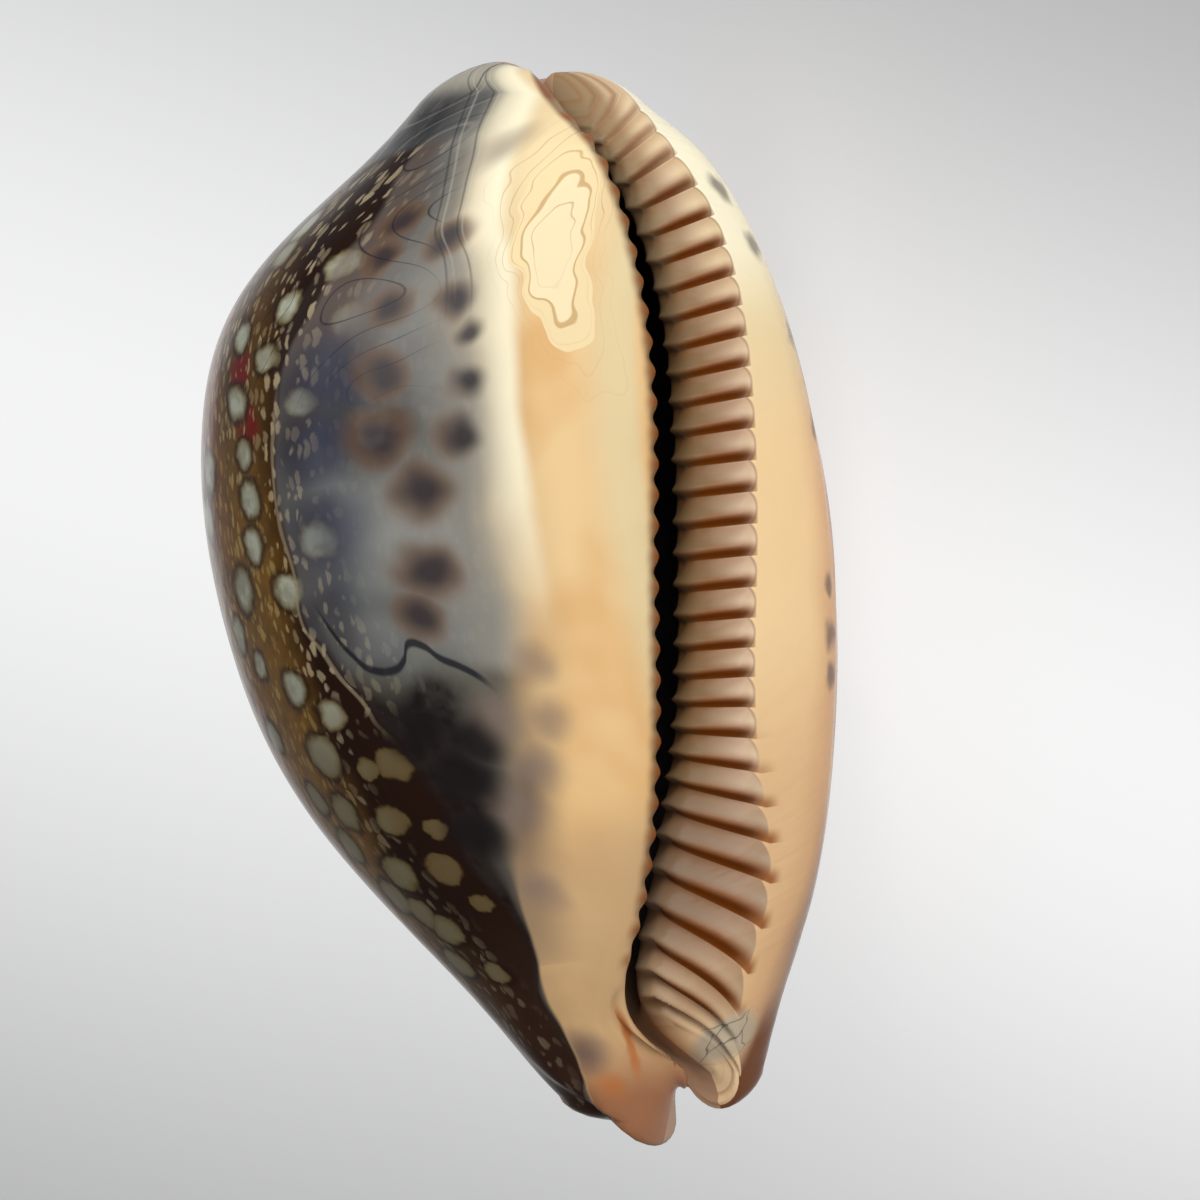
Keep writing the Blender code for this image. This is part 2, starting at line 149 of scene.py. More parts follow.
stations = np.linspace(0, 1, RINGS)
section = {name: spline(STATION, values, stations) for name, values in SECTION.items()}
section["margin"] = MARGIN_LEVEL - MARGIN_FALL * stations ** 3
section["flange"] = FLANGE_RISE * (1 - smooth(0.10, 0.32, stations))
section["shoulder"] = spline(SHOULDER_STATION, SHOULDER_RISE, stations)
section["shoulder_angle"] = np.interp(stations, SHOULDER_STATION, np.radians(SHOULDER_ANGLE))
print("widest section, mm:", round(float((section["columellar"] + section["outer"]).max()), 1))

# %% [markdown]
# ## One cross section
# The body of a section is a superellipse with four different half axes.  The
# outer lip leaves it at a crest, slopes down as a toothed band and rolls under.
# The columellar side rolls plainly into the slit.  Both rolls are walked as a path
# whose heading turns step by step, the way a bent strip would be drawn.

# %% Superellipse, slope of the base and walked paths
def radius(angle, right, left, up, down):
    """Superellipse radius of a section with four different half axes."""
    c = np.cos(angle)
    k = np.sin(angle)
    w = np.where(c > 0, right, left)
    h = np.where(k > 0, up, down)
    n = np.where(c > 0, OUTER_SIDE_SQUARENESS, DORSUM_SQUARENESS)
    n = np.where(k > 0, BASE_SQUARENESS, n)
    return (np.abs(c / w) ** n + np.abs(k / h) ** n) ** (-1 / n)


def base(x, d):
    """Height of the base above the margin level, and its slope, at x."""
    def height(q):
        w = d["outer"] if q > 0 else d["columellar"]
        f = 1 - min(abs(q / w), 0.98) ** BASE_SQUARENESS
        return d["base"] * f ** (1 / BASE_SQUARENESS)
    slope = (height(x + 0.001) - height(x - 0.001)) / 0.002
    return height(x), math.atan(slope)


def walk(start, heading, length):
    """Path of even steps whose headings are given."""
    step = length / len(heading)
    moves = step * np.c_[np.cos(heading), np.sin(heading)]
    return np.concatenate([[start], start + np.cumsum(moves, 0)])


def resample(path, share):
    """Points at the given shares of a path's length."""
    step = np.hypot(*np.diff(path, axis=0).T)
    a = np.concatenate([[0], np.cumsum(step)])
    a /= a[-1]
    return np.c_[np.interp(share, a, path[:, 0]), np.interp(share, a, path[:, 1])]


# %% Outer section, from the lip's hidden edge round the back to the columella's
LIP_BAND = 4.6
LIP_ROLL = 3.4
BAND_DROP = 32.0
BAND_CURVE = 14.0
ROLL_TURN = 120.0
CANAL_ROLL_TURN = 55.0
COLUMELLA_ROLL = 6.0
COLUMELLA_TURN = 130.0
CANAL_COLUMELLA_TURN = 95.0
LIP_SHARE = 0.24
COLUMELLA_SHARE = 0.16
LIP_ROWS, BODY_ROWS, COLUMELLA_ROWS = 40, 58, 20
ROLL_STEPS, BODY_STEPS = 240, 720
SETTLING = 5


def roll_in(d, side, size, turn):
    """Roll of one lip from the base into the slit: side 1 is the outer lip, -1 the other."""
    edge = d["slit"] + side * d["gap"] / 2
    x = edge + side * 0.5 * size
    for _ in range(SETTLING):
        h, slope = base(x, d)
        heading = slope + side * np.radians(turn) + (math.pi if side > 0 else 0.0)
        path = walk(np.array([x, h]), heading, size)
        x += edge - side * (side * path[:, 0]).min()
    return path


def outer_contour(d, rm, v):
    """Outer section at the shares v of its way round."""
    t = (np.arange(ROLL_STEPS) + 0.5) / ROLL_STEPS
    b = LIP_BAND / (LIP_BAND + LIP_ROLL)
    turn = BAND_DROP * smooth(0, 0.16, t) + BAND_CURVE * smooth(0.1, b, t)
    turn += (CANAL_ROLL_TURN + (ROLL_TURN - CANAL_ROLL_TURN) * rm) * np.clip((t - b) / (1 - b), 0, 1)
    lip = roll_in(d, 1, (LIP_BAND + LIP_ROLL) * d["lip"], turn)[::-1]
    total = CANAL_COLUMELLA_TURN + (COLUMELLA_TURN - CANAL_COLUMELLA_TURN) * rm
    col = roll_in(d, -1, COLUMELLA_ROLL * d["roll"], total * (0.35 * t + 0.65 * smooth(0.1, 1, t)))
    start = math.atan2(lip[-1, 1], lip[-1, 0])
    end = math.atan2(col[0, 1], col[0, 0]) - 2 * math.pi
    angle = np.linspace(start, end, BODY_STEPS)
    r = radius(angle, d["outer"], d["columellar"], d["base"], d["dorsum"])
    off = angle - math.radians(FLANGE_ANGLE)
    off = np.where(off > 0, off / FLANGE_STEP, off / FLANGE_WIDTH)
    r = r + d["flange"] * np.exp(-off * off)
    off = (angle - d["shoulder_angle"]) / SHOULDER_WIDTH
    r = r + d["shoulder"] * np.exp(-off * off)
    body = np.c_[r * np.cos(angle), r * np.sin(angle)]
    out = np.empty((len(v), 2))
    on_lip = v <= LIP_SHARE
    on_col = v >= 1 - COLUMELLA_SHARE
    on_body = ~on_lip & ~on_col
    out[on_lip] = resample(lip, v[on_lip] / LIP_SHARE)
    out[on_body] = resample(body, (v[on_body] - LIP_SHARE) / (1 - COLUMELLA_SHARE - LIP_SHARE))
    out[on_col] = resample(col, (v[on_col] - 1 + COLUMELLA_SHARE) / COLUMELLA_SHARE)
    out[:, 1] += d["margin"]
    return out


# %% [markdown]
# ## The hollow
# The slit opens into one roomy chamber, and into a narrow U at each end.  The
# lining is drawn as a second section between the two hidden edges of the slit, at
# the wall's thickness from the outside: thick at the margins, thin on the back.

# %% Inner section
WALL_STATION = (0.0, 0.1, 0.3, 0.6, 0.85, 1.0)
WALL_OUTER_MARGIN = (1.8, 2.4, 3.0, 3.2, 2.8, 1.8)
WALL_COLUMELLAR_MARGIN = (1.8, 2.2, 2.5, 2.5, 2.3, 2.0)
WALL_DORSUM_STATION = (0.0, 0.05, 0.12, 0.3, 0.6, 0.85, 0.93, 1.0)
WALL_DORSUM = (2.1, 1.6, 1.3, 1.2, 1.2, 1.4, 1.8, 4.4)
CAVITY_ROWS = (0.0, 0.07, 0.17, 0.30, 0.42, 0.54, 0.66, 0.76, 0.84, 0.92, 1.0)
section["wall_outer"] = spline(WALL_STATION, WALL_OUTER_MARGIN, stations)
section["wall_columellar"] = spline(WALL_STATION, WALL_COLUMELLAR_MARGIN, stations)
section["wall_dorsum"] = spline(WALL_DORSUM_STATION, WALL_DORSUM, stations)


def cavity_contour(d, rm, edge_lip, edge_col, v):
    """Inner section between the two hidden edges of the slit."""
    right = d["outer"] - d["wall_outer"]
    left = d["columellar"] - d["wall_columellar"]
    down = d["dorsum"] - d["wall_dorsum"]
    up = max(d["base"] - 2.5, 0.6)

    def at(degrees):
        a = math.radians(degrees)
        r = float(radius(np.array(a), right, left, up, down))
        return np.array([r * math.cos(a), d["margin"] + r * math.sin(a)])

    lobe = edge_col[1] - min(3.0, 0.33 * down)
    under = 0.55 * at(10) + 0.45 * edge_lip
    under[1] = min(under[1], edge_lip[1] - 0.3)
    wide = edge_col[0] + left
    full = np.array([
        edge_lip, under, at(-12), at(-48), at(-85), at(-122), at(-155),
        [0.2 * wide - left, d["margin"] + 0.1 - 0.06 * down],
        [0.55 * wide - left, lobe - 0.04 * down],
        [0.86 * wide - left, lobe + 0.28 * (edge_col[1] - lobe)],
        edge_col])
    middle = (edge_lip[0] + edge_col[0]) / 2
    half = (edge_lip[0] - edge_col[0]) / 2
    floor = d["margin"] - down + 0.35 * half
    deep = max(0.5 * (edge_lip[1] + edge_col[1]) - floor, 0.8)
    a = np.radians([0, -20, -42, -64, -86, -108, -130, -150, -164, -174, -180])
    across = middle + half * np.sign(np.cos(a)) * np.abs(np.cos(a)) ** 0.7
    top = np.interp(a, [-math.pi, 0], [edge_col[1], edge_lip[1]])
    canal = np.c_[across, top - deep * np.abs(np.sin(a)) ** 0.9]
    canal[0] = edge_lip
    canal[-1] = edge_col
    mix = float(smooth(0.05, 0.85, rm))
    return spline(CAVITY_ROWS, (1 - mix) * canal + mix * full, v)


# %% [markdown]
# ## The two ends
# At the anterior end the columellar side runs out into a finger and the lip into
# a blunt tip, with a notch between them.  At the posterior end a lobe stands
# beside a shallower notch.  Each is a gentle lengthwise shift of the last
# sections.  The wall's end is then closed by rings on a rounded arc, so no cut
# edge is left.

# %% Lengthwise shifts and rounded rims
FINGER_REACH = 2.1
LIP_TIP_REACH = 1.0
BACK_REACH = 0.7
LOBE_REACH = 0.9
POSTERIOR_DIP = 0.9
ANTERIOR_LEAN = 0.45
POSTERIOR_LEAN = 3.0


def end_shift(s, v):
    """Lengthwise shift that shapes the notches and tips of both ends."""
    anterior = math.exp(-(s / 0.075) ** 2)
    posterior = math.exp(-((1 - s) / 0.06) ** 2)
    finger = np.exp(-((v - 0.790) / 0.036) ** 2) - 0.35 * np.exp(-((v - 0.875) / 0.03) ** 2)
    lip_tip = np.exp(-((v - 0.25) / 0.06) ** 2)
    back = np.exp(-((v - 0.72) / 0.08) ** 2)
    lobe = np.exp(-((v - 0.73) / 0.10) ** 2)
    shift = -anterior * (FINGER_REACH * finger + LIP_TIP_REACH * lip_tip + BACK_REACH * back)
    return shift + posterior * (LOBE_REACH * lobe - POSTERIOR_DIP)


def rim(end, near, sign, most_lean):
    """Rounded rings that close the wall's end, outer and inner together."""
    outer, inner = end
    thick = np.linalg.norm(outer - inner, axis=1)
    h = np.minimum(0.5 * thick, TIP_REACH)[:, None]
    control = []
    for edge, before in zip(end, near):
        lean = (edge - before) / np.abs(edge[:, 1:2] - before[:, 1:2])
        lean[:, 1] = 0
        lean *= h
        size = np.linalg.norm(lean, axis=1)[:, None] + 1e-9
        lean *= np.minimum(1, np.minimum(0.42 * thick[:, None], most_lean) / size)
        control.append(edge + lean + np.array([0, sign, 0]) * h)
    crest = (control[0] + control[1]) / 2
    rings = ([], [])
    for k in range(1, END_RINGS + 1):
        t = k / END_RINGS
        w = ((1 - t) ** 2, 2 * t * (1 - t) * math.sqrt(0.5), t * t)
        for side in (0, 1):
            p = w[0] * end[side] + w[1] * control[side] + w[2] * crest
            rings[side].append(p / sum(w))
    return rings


# %% [markdown]
# ## The teeth
# Thirty-odd teeth cross the sloping band of the outer lip, and fan out a little
# towards the ends.  They could be separate sausages laid on the lip, but in the
# real shell they are ribs of the same glaze, so they are cut into the surface: a
# running number along the lip says where a point is on its tooth.  Each tooth is
# steep on its anterior side, where the brown streak lies, and slopes away easily
# on the other.  It is thin at the slit and swells to a round end near the crest.

# %% Ridges on the lip, small teeth and a furrow on the columella
PITCH_STATION = (0.0, 0.08, 0.13, 0.22, 0.29, 0.38, 0.48, 0.56, 0.66, 0.80, 0.90, 1.0)
TOOTH_PITCH = (1.5, 1.5, 1.85, 1.9, 1.5, 1.55, 1.75, 1.8, 1.65, 1.65, 1.45, 1.1)
FIRST_TOOTH = 0.073
FAN_STATION = (0.0, 0.07, 0.14, 0.20, 0.25, 0.30, 0.35, 0.40, 0.60, 0.85, 1.0)
FAN = (4.2, 4.5, 4.2, 3.6, 2.7, 1.7, 0.6, 0.2, 0.0, -1.2, -4.0)
TOOTH_HEIGHT = 0.75
TOOTH_LEVEL = 0.40
STEEP_SIDE = 0.30
COLUMELLAR_PITCH = 1.75
COLUMELLAR_TOOTH_HEIGHT = 0.30
FURROW_DEPTH = 0.5


def ridge(phase, across):
    """Height of a tooth, 0 in its flute: steep on one side and swelling to the crest."""
    u = phase - np.floor(phase)
    fullness = 1.5 - 0.9 * smooth(0.3, 0.9, across)
    return smooth(0.0, STEEP_SIDE, u) * (1 - u) ** fullness


def tooth_count(s):
    """Running number of teeth along the outer lip."""
    g = np.linspace(0, 1, 801)
    rate = BODY_LENGTH / spline(PITCH_STATION, TOOTH_PITCH, g)
    n = np.concatenate([[0], np.cumsum((rate[1:] + rate[:-1]) / 2) * (g[1] - g[0])])
    return np.interp(s, g, n) - np.interp(FIRST_TOOTH, g, n)


def lip_place(s, v):
    """Tooth number and way across the band, 0 at the slit and 1 at the crest."""
    ss = s[:, None]
    w = np.clip(1 - np.clip(1 - v[None, :] / LIP_SHARE, 0, 1) / 0.72, 0, 1)
    tip = ss + 0 * w
    for _ in range(4):
        tip = ss + np.interp(tip, FAN_STATION, FAN) / BODY_LENGTH * w
    return tooth_count(tip), w + 0 * tip


def teeth(sheet, s, v):
    """Cut the flutes between the teeth of both lips into the outer sheet."""
    along = np.gradient(sheet, axis=0)
    across = np.gradient(sheet, axis=1)
    n = np.cross(across, along)
    n /= np.linalg.norm(n, axis=-1, keepdims=True) + 1e-12
    ss = s[:, None]
    phase, w = lip_place(s, v)
    u = phase - np.floor(phase)
    end = 0.91 + 0.06 * (4 * (u - 0.45) ** 2 + 1 - smooth(0.08, 0.25, ss))
    wall = 0.15 + 0.15 * (1 - smooth(0.12, 0.28, ss))
    depth = smooth(0.0, wall, end - w) * smooth(0.0, 0.2, v[None, :] / LIP_SHARE)
    depth = depth * (v[None, :] < LIP_SHARE) * smooth(-0.7, -0.3, phase) * smooth(0.0, 0.12, 1 - ss)
    depth = depth * (1.6 - 0.6 * smooth(0.0, 0.35, w))
    cut = TOOTH_HEIGHT * depth * (TOOTH_LEVEL - ridge(phase, w))
    t = np.clip((v[None, :] - 1 + COLUMELLA_SHARE) / COLUMELLA_SHARE, 0, 1)
    phase = BODY_LENGTH * ss / COLUMELLAR_PITCH + 0 * t
    depth = smooth(0.2, 0.5, t) * (1 - smooth(0.9, 1.0, t)) * smooth(0.09, 0.18, ss)
    depth = depth * smooth(0.0, 0.06, 1 - ss)
    cut = cut - COLUMELLAR_TOOTH_HEIGHT * depth * (0.1 + 0.5 * np.cos(2 * math.pi * phase))
    middle = 0.12 + 3.2 * ss
    furrow = np.exp(-((t - middle) / 0.10) ** 2) * smooth(0.0, 0.15, t) * smooth(-0.01, 0.03, ss)
    cut = cut + FURROW_DEPTH * furrow * (1 - smooth(0.07, 0.10, ss))
    return sheet - n * cut[..., None]


# %% Both sheets of the wall
rows = np.concatenate([
    np.linspace(0, LIP_SHARE, LIP_ROWS, endpoint=False),
    np.linspace(LIP_SHARE, 1 - COLUMELLA_SHARE, BODY_ROWS, endpoint=False),
    np.linspace(1 - COLUMELLA_SHARE, 1, COLUMELLA_ROWS + 1)])
outer_sheet, inner_sheet = [], []
for i, s in enumerate(stations):
    measures = {name: float(values[i]) for name, values in section.items()}
    outline = outer_contour(measures, float(room(s)), rows)
    lining = cavity_contour(measures, float(room(s)), outline[0], outline[-1], rows)
    y = Y_ANTERIOR + BODY_LENGTH * s + end_shift(s, rows)
    outer_sheet.append(np.c_[outline[:, 0], y, outline[:, 1]])
    inner_sheet.append(np.c_[lining[:, 0], y, lining[:, 1]])
plain_sheet = np.array(outer_sheet)
outer_sheet = teeth(plain_sheet, stations, rows)
inner_sheet = np.array(inner_sheet)
walls = np.array([outer_sheet, inner_sheet])
anterior_rim = rim(walls[:, 0], walls[:, 2], -1, ANTERIOR_LEAN)
posterior_rim = rim(walls[:, -1], walls[:, -3], 1, POSTERIOR_LEAN)
outer_sheet, inner_sheet = (
    np.array(front[::-1] + list(wall) + behind)
    for front, wall, behind in zip(anterior_rim, walls, posterior_rim))
print("sheets of", outer_sheet.shape[0], "rings and", outer_sheet.shape[1], "rows")

# %% [markdown]
# ## A chart of the surface
# The colours of a cowrie follow its surface: layers of glaze that crept up from
# the base over the back.  So every point keeps its place on a chart, in
# millimetres: how far round from the columellar margin, how far along, and how far
# round from the outer margin.  A second set keeps the tooth number and the way
# across each lip.  They are stored as attributes of the mesh, which stay on the
# surface in any view.

# %% Girth, teeth and lips as numbers on the sheet
def pad(values):
    """Repeat the first and last ring for the rounded rims."""
    return np.concatenate([
        np.repeat(values[:1], END_RINGS, 0), values, np.repeat(values[-1:], END_RINGS, 0)])


def girth_from(sheet, side):
    """Way round each section from the widest line on one side, + to the back."""
    step = np.linalg.norm(np.diff(sheet, axis=1), axis=2)
    way = np.concatenate([np.zeros((len(sheet), 1)), np.cumsum(step, 1)], 1)
    on_body = np.flatnonzero((rows >= LIP_SHARE) & (rows <= 1 - COLUMELLA_SHARE))
    out = np.empty_like(way)
    for i, ring in enumerate(sheet):
        above = ring[on_body, 2] > section["margin"][i]
        change = np.flatnonzero(above[1:] != above[:-1])
        k = on_body[change[0] if side > 0 else change[-1]]
        rise = ring[k + 1, 2] - ring[k, 2]
        start = way[i, k] + (section["margin"][i] - ring[k, 2]) / rise * step[i, k]
        out[i] = side * (way[i] - start)
    return out


from_columellar_margin = girth_from(plain_sheet, -1)
from_outer_margin = girth_from(plain_sheet, 1)
chart = np.stack([pad(from_columellar_margin), outer_sheet[..., 1], pad(from_outer_margin)], -1)
tooth_number, band_way = lip_place(stations, rows)
lip_chart = np.stack([
    pad(tooth_number), pad(band_way), np.broadcast_to(rows / LIP_SHARE, (len(chart), len(rows)))], -1)
columella_chart = np.stack([
    pad(np.repeat(BODY_LENGTH * stations[:, None] / COLUMELLAR_PITCH, len(rows), 1)),
    np.broadcast_to((rows - 1 + COLUMELLA_SHARE) / COLUMELLA_SHARE, chart.shape[:2]),
    pad(np.repeat(stations[:, None], len(rows), 1))], -1)
print("girth from margin to margin over the back, mm:",
      round(float((chart[..., 0] + chart[..., 2])[len(chart) // 2, 60]), 1))

# %% [markdown]
# ## Laying the shell down
# On a table the shell rolls on to the side of its outer lip, where a patch is very
# slightly flattened.  The same turn is made here, and then the shell is slid so
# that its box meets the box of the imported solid.

# %% Turn and slide
roll = np.array([
    [math.cos(REST_ROLL), 0, math.sin(REST_ROLL)], [0, 1, 0],
    [-math.sin(REST_ROLL), 0, math.cos(REST_ROLL)]])
pitch = np.array([
    [1, 0, 0], [0, math.cos(REST_PITCH), -math.sin(REST_PITCH)],
    [0, math.sin(REST_PITCH), math.cos(REST_PITCH)]])
turn = pitch @ roll
outer_sheet = outer_sheet @ turn.T * MM
inner_sheet = inner_sheet @ turn.T * MM
outer_sheet[..., 2] = np.maximum(outer_sheet[..., 2], outer_sheet[..., 2].min() + REST_FLAT)
solid_low, solid_high = (np.array(corner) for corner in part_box("cowrie_shell"))
middle = (outer_sheet.min((0, 1)) + outer_sheet.max((0, 1))) / 2
slide = (solid_low + solid_high) / 2 - middle
slide[2] = solid_low[2] - outer_sheet[..., 2].min()
outer_sheet += slide
inner_sheet += slide
print("lowest point, mm:", round(float(outer_sheet[..., 2].min() * 1000), 3))


def placed(point):
    """A point given in the shell's own axes, in millimetres, where it lies."""
    return Vector(turn @ np.array(point, float) * MM + slide)


def turned(direction):
    """A direction given in the shell's own axes, as it lies."""
    return Vector(turn @ np.array(direction, float)).normalized()


# %% [markdown]
# ## The mesh
# Two grids are laid on the sheets and welded along the slit and round both ends,
# which gives one closed skin.  A grid keeps its rows and rings, so the chart can
# be written on it point by point, and so can a flat map of the surface.

# %% Lay the grids
UV_GAP = 0.012
OUTER_STRIP = 0.84
girth_share = np.concatenate([
    np.linspace(0, 0.17, LIP_ROWS, endpoint=False),
    np.linspace(0.17, 0.90, BODY_ROWS, endpoint=False),
    np.linspace(0.90, 1, COLUMELLA_ROWS + 1)])
length_share = np.linspace(UV_GAP, 1 - UV_GAP, len(chart))
outer_across = UV_GAP + (OUTER_STRIP - 2 * UV_GAP) * girth_share
inner_across = OUTER_STRIP + (1 - UV_GAP - OUTER_STRIP) * girth_share


def lay_grid(mesh, layers, points, across, material, flip):
    """Add a grid to the mesh, move its corners onto the points and chart them."""
    rings, columns = points.shape[:2]
    made = bmesh.ops.create_grid(mesh, x_segments=rings - 1, y_segments=columns - 1, size=0.5)
    for vert in made["verts"]:
        i = round((vert.co.x + 0.5) * (rings - 1))
        j = round((vert.co.y + 0.5) * (columns - 1))
        vert.co = [float(q) for q in points[i, j]]
        vert[layers["chart"]] = [float(q) for q in chart[i, j]]
        vert[layers["lip"]] = [float(q) for q in lip_chart[i, j]]
        vert[layers["columella"]] = [float(q) for q in columella_chart[i, j]]
        for loop in vert.link_loops:
            loop[layers["map"]].uv = (float(across[j]), float(length_share[i]))
    faces = list({face for vert in made["verts"] for face in vert.link_faces})
    for face in faces:
        face.material_index = material
        face.smooth = True
    if flip:
        bmesh.ops.reverse_faces(mesh, faces=faces)


skin = bmesh.new()
layers = {name: skin.verts.layers.float_vector.new(name) for name in ("chart", "lip", "columella")}
layers["map"] = skin.loops.layers.uv.new("OFBake")
lay_grid(skin, layers, outer_sheet, outer_across, material=0, flip=True)
lay_grid(skin, layers, inner_sheet, inner_across, material=1, flip=False)
bmesh.ops.remove_doubles(skin, verts=skin.verts, dist=0.000001)
bmesh.ops.dissolve_degenerate(skin, edges=skin.edges, dist=0.0000005)
bmesh.ops.recalc_face_normals(skin, faces=skin.faces)
shell_mesh = bpy.data.meshes.new("cowrie_shell_glazed")
skin.to_mesh(shell_mesh)
open_edges = sum(1 for edge in skin.edges if not edge.is_manifold)
skin.free()
shell = bpy.data.objects.new("cowrie_shell_glazed", shell_mesh)
bpy.context.scene.collection.objects.link(shell)
print("faces:", len(shell_mesh.polygons), "open edges:", open_edges)

# %% [markdown]
# ## Wiring shaders
# A procedural finish is a net of small sums.  Written out node by node it is long
# to read, so each socket is wrapped as a signal that can be added, multiplied,
# eased and coated, and every pattern below reads like a formula.

# %% Signals
def paint(red, green, blue):
    """A display colour, 0 to 255, as the linear colour that shaders read."""
    parts = [q / 255 for q in (red, green, blue)]
    return [q / 12.92 if q < 0.04045 else ((q + 0.055) / 1.055) ** 2.4 for q in parts] + [1.0]


def feed(socket, value):
    """Join a signal to a socket, or set a plain value on it."""
    if isinstance(value, Signal):
        socket.id_data.links.new(value.socket, socket)
    else:
        socket.default_value = value


def add_node(tree, kind, *values, **settings):
    """Add a node, set it up and feed its first sockets."""
    node = tree.nodes.new("ShaderNode" + kind)
    for name, value in settings.items():
        setattr(node, name, value)
    for socket, value in zip(node.inputs, values):
        feed(socket, value)
    return node


class Signal:
    """A socket to reckon with, as a number, a place or a colour."""

    def __init__(self, socket):
        self.socket = socket

    def node(self, kind, *values, **settings):
        """A node beside this signal, which goes into its first socket."""
        return add_node(self.socket.id_data, kind, self, *values, **settings)

    def math(self, operation, *values):
        return Signal(self.node("Math", *values, operation=operation).outputs[0])

    def __add__(self, other):
        return self.math("ADD", other)

    def __sub__(self, other):
        return self.math("SUBTRACT", other)

    def __mul__(self, other):
        return self.math("MULTIPLY", other)

    def __truediv__(self, other):
        return self.math("DIVIDE", other)

    def vector(self, operation, *values):
        node = self.node("VectorMath", *values, operation=operation)
        return Signal(node.outputs["Value" if operation in ("LENGTH", "DISTANCE") else "Vector"])

    def scaled(self, factor):
        node = self.node("VectorMath", operation="SCALE")
        feed(node.inputs["Scale"], factor)
        return Signal(node.outputs["Vector"])

    def split(self):
        return [Signal(socket) for socket in self.node("SeparateXYZ").outputs]

    def ease(self, low, high, start=0.0, end=1.0):
        """Eased step: start below low, end above high."""
        node = self.node("MapRange", low, high, start, end, interpolation_type="SMOOTHSTEP")
        return Signal(node.outputs[0])

    def line(self, low, high):
        """Straight step from 0 at low to 1 at high."""
        return Signal(self.node("MapRange", low, high).outputs[0])

    def coat(self, mask, colour):
        """This colour, with another laid over it where the mask says."""
        return blend(mask, self, colour)

    def coats(self, *layers):
        """This colour under several coats, each a mask and a colour."""
        result = self
        for mask, colour in layers:
            result = result.coat(mask, colour)
        return result

    def noise(self, scale, detail=2.0, roughness=0.5, output=0):
        node = self.node("TexNoise", noise_dimensions="2D")
        for name, value in (("Scale", scale), ("Detail", detail), ("Roughness", roughness)):
            feed(node.inputs[name], value)
        return Signal(node.outputs[output])

    def cells(self, scale, randomness, feature="F1"):
        """A node of scattered cells on this place."""
        node = self.node("TexVoronoi", voronoi_dimensions="2D", feature=feature)
        node.inputs["Scale"].default_value = scale
        node.inputs["Randomness"].default_value = randomness
        return node

    def curve(self, points):
        """Value looked up on a smooth curve through given (from, to) points."""
        low, high = points[0][0], points[-1][0]
        least = min(p[1] for p in points)
        most = max(p[1] for p in points)
        node = add_node(self.socket.id_data, "FloatCurve")
        bends = node.mapping.curves[0].points
        while len(bends) < len(points):
            bends.new(0.5, 0.5)
        for bend, (x, y) in zip(bends, points):
            bend.location = ((x - low) / (high - low), (y - least) / (most - least))
        node.mapping.update()
        feed(node.inputs["Value"], self.line(low, high))
        return Signal(node.outputs[0]).math("MULTIPLY_ADD", most - least, least)

    def ramp(self, stops):
        """Colour looked up between 0 and 1 through (place, colour) stops."""
        node = self.line(0.0, 1.0).node("ValToRGB")
        bar = node.color_ramp.elements
        bar.remove(bar[1])
        bar[0].position, bar[0].color = stops[0]
        for place, colour in stops[1:]:
            bar.new(place).color = colour
        return Signal(node.outputs[0])


def blend(mask, first, second):
    """The first colour where the mask is 0, the second where it is 1."""
    node = mask.node("Mix", data_type="RGBA")
    feed(node.inputs[6], first)
    feed(node.inputs[7], second)
    return Signal(node.outputs[2])


def join(x, y, z=0.0):
    return Signal(x.node("CombineXYZ", y, z).outputs[0])


def least_of(signals):
    result = signals[0]
    for signal in signals[1:]:
        result = result.math("MINIMUM", signal)
    return result


def attribute(tree, name):
    """Three numbers kept at each point of the mesh."""
    return Signal(add_node(tree, "Attribute", attribute_name=name).outputs["Vector"])


def new_material(name):
    """A material, its tree and its main shader."""
    material = bpy.data.materials.new(name)
    material.use_nodes = True
    return material, material.node_tree, material.node_tree.nodes["Principled BSDF"]


print("signals ready")

# %% [markdown]
# ## Contours, wandering and spots
# Three effects come again and again on this shell.  A contour is a thin line where
# some measure passes a level, as on a map of hills: the tide lines of old glaze run
# that way.  Wandering shakes the chart a little, so that no layer ends on a ruled
# line.  Both are node groups with their own sockets.  A spot is told by how far it
# is to the nearest of a list of middles, on a chart that wanders, so that no spot
# is a perfect oval.

# %% Groups: contour and wander
def shader_group(name, inputs, output):
    """An empty node group: its tree, its inputs as signals and its output socket."""
    tree = bpy.data.node_groups.new(name, "ShaderNodeTree")
    for label, kind in inputs.items():
        tree.interface.new_socket(label, in_out="INPUT", socket_type="NodeSocket" + kind)
    label, kind = output
    tree.interface.new_socket(label, in_out="OUTPUT", socket_type="NodeSocket" + kind)
    start = tree.nodes.new("NodeGroupInput")
    end = tree.nodes.new("NodeGroupOutput")
    return tree, {label: Signal(start.outputs[label]) for label in inputs}, end.inputs[0]


contour, given, result = shader_group(
    "contour", dict.fromkeys(("Field", "Level", "Spacing", "Width", "Blur"), "Float"), ("Mask", "Float"))
over = given["Field"] - given["Level"]
away = over.math("WRAP", given["Spacing"] * 0.5, given["Spacing"] * -0.5).math("ABSOLUTE")
feed(result, ((away - given["Width"]) / given["Blur"]).ease(1.0, 0.0))
wander, given, result = shader_group(
    "wander", {"Place": "Vector", "Reach": "Float", "Grain": "Float"}, ("Place", "Vector"))
swing = given["Place"].noise(given["Grain"], 1.0, output="Color").vector("SUBTRACT", (0.5, 0.5, 0.5))
feed(result, given["Place"].vector("ADD", swing.scaled(given["Reach"])))


def lines(field, level, width, blur, spacing=1000.0):
    """Thin lines where a field passes a level, and again at every spacing from it."""
    return Signal(field.node("Group", level, spacing, width, blur, node_tree=contour).outputs["Mask"])


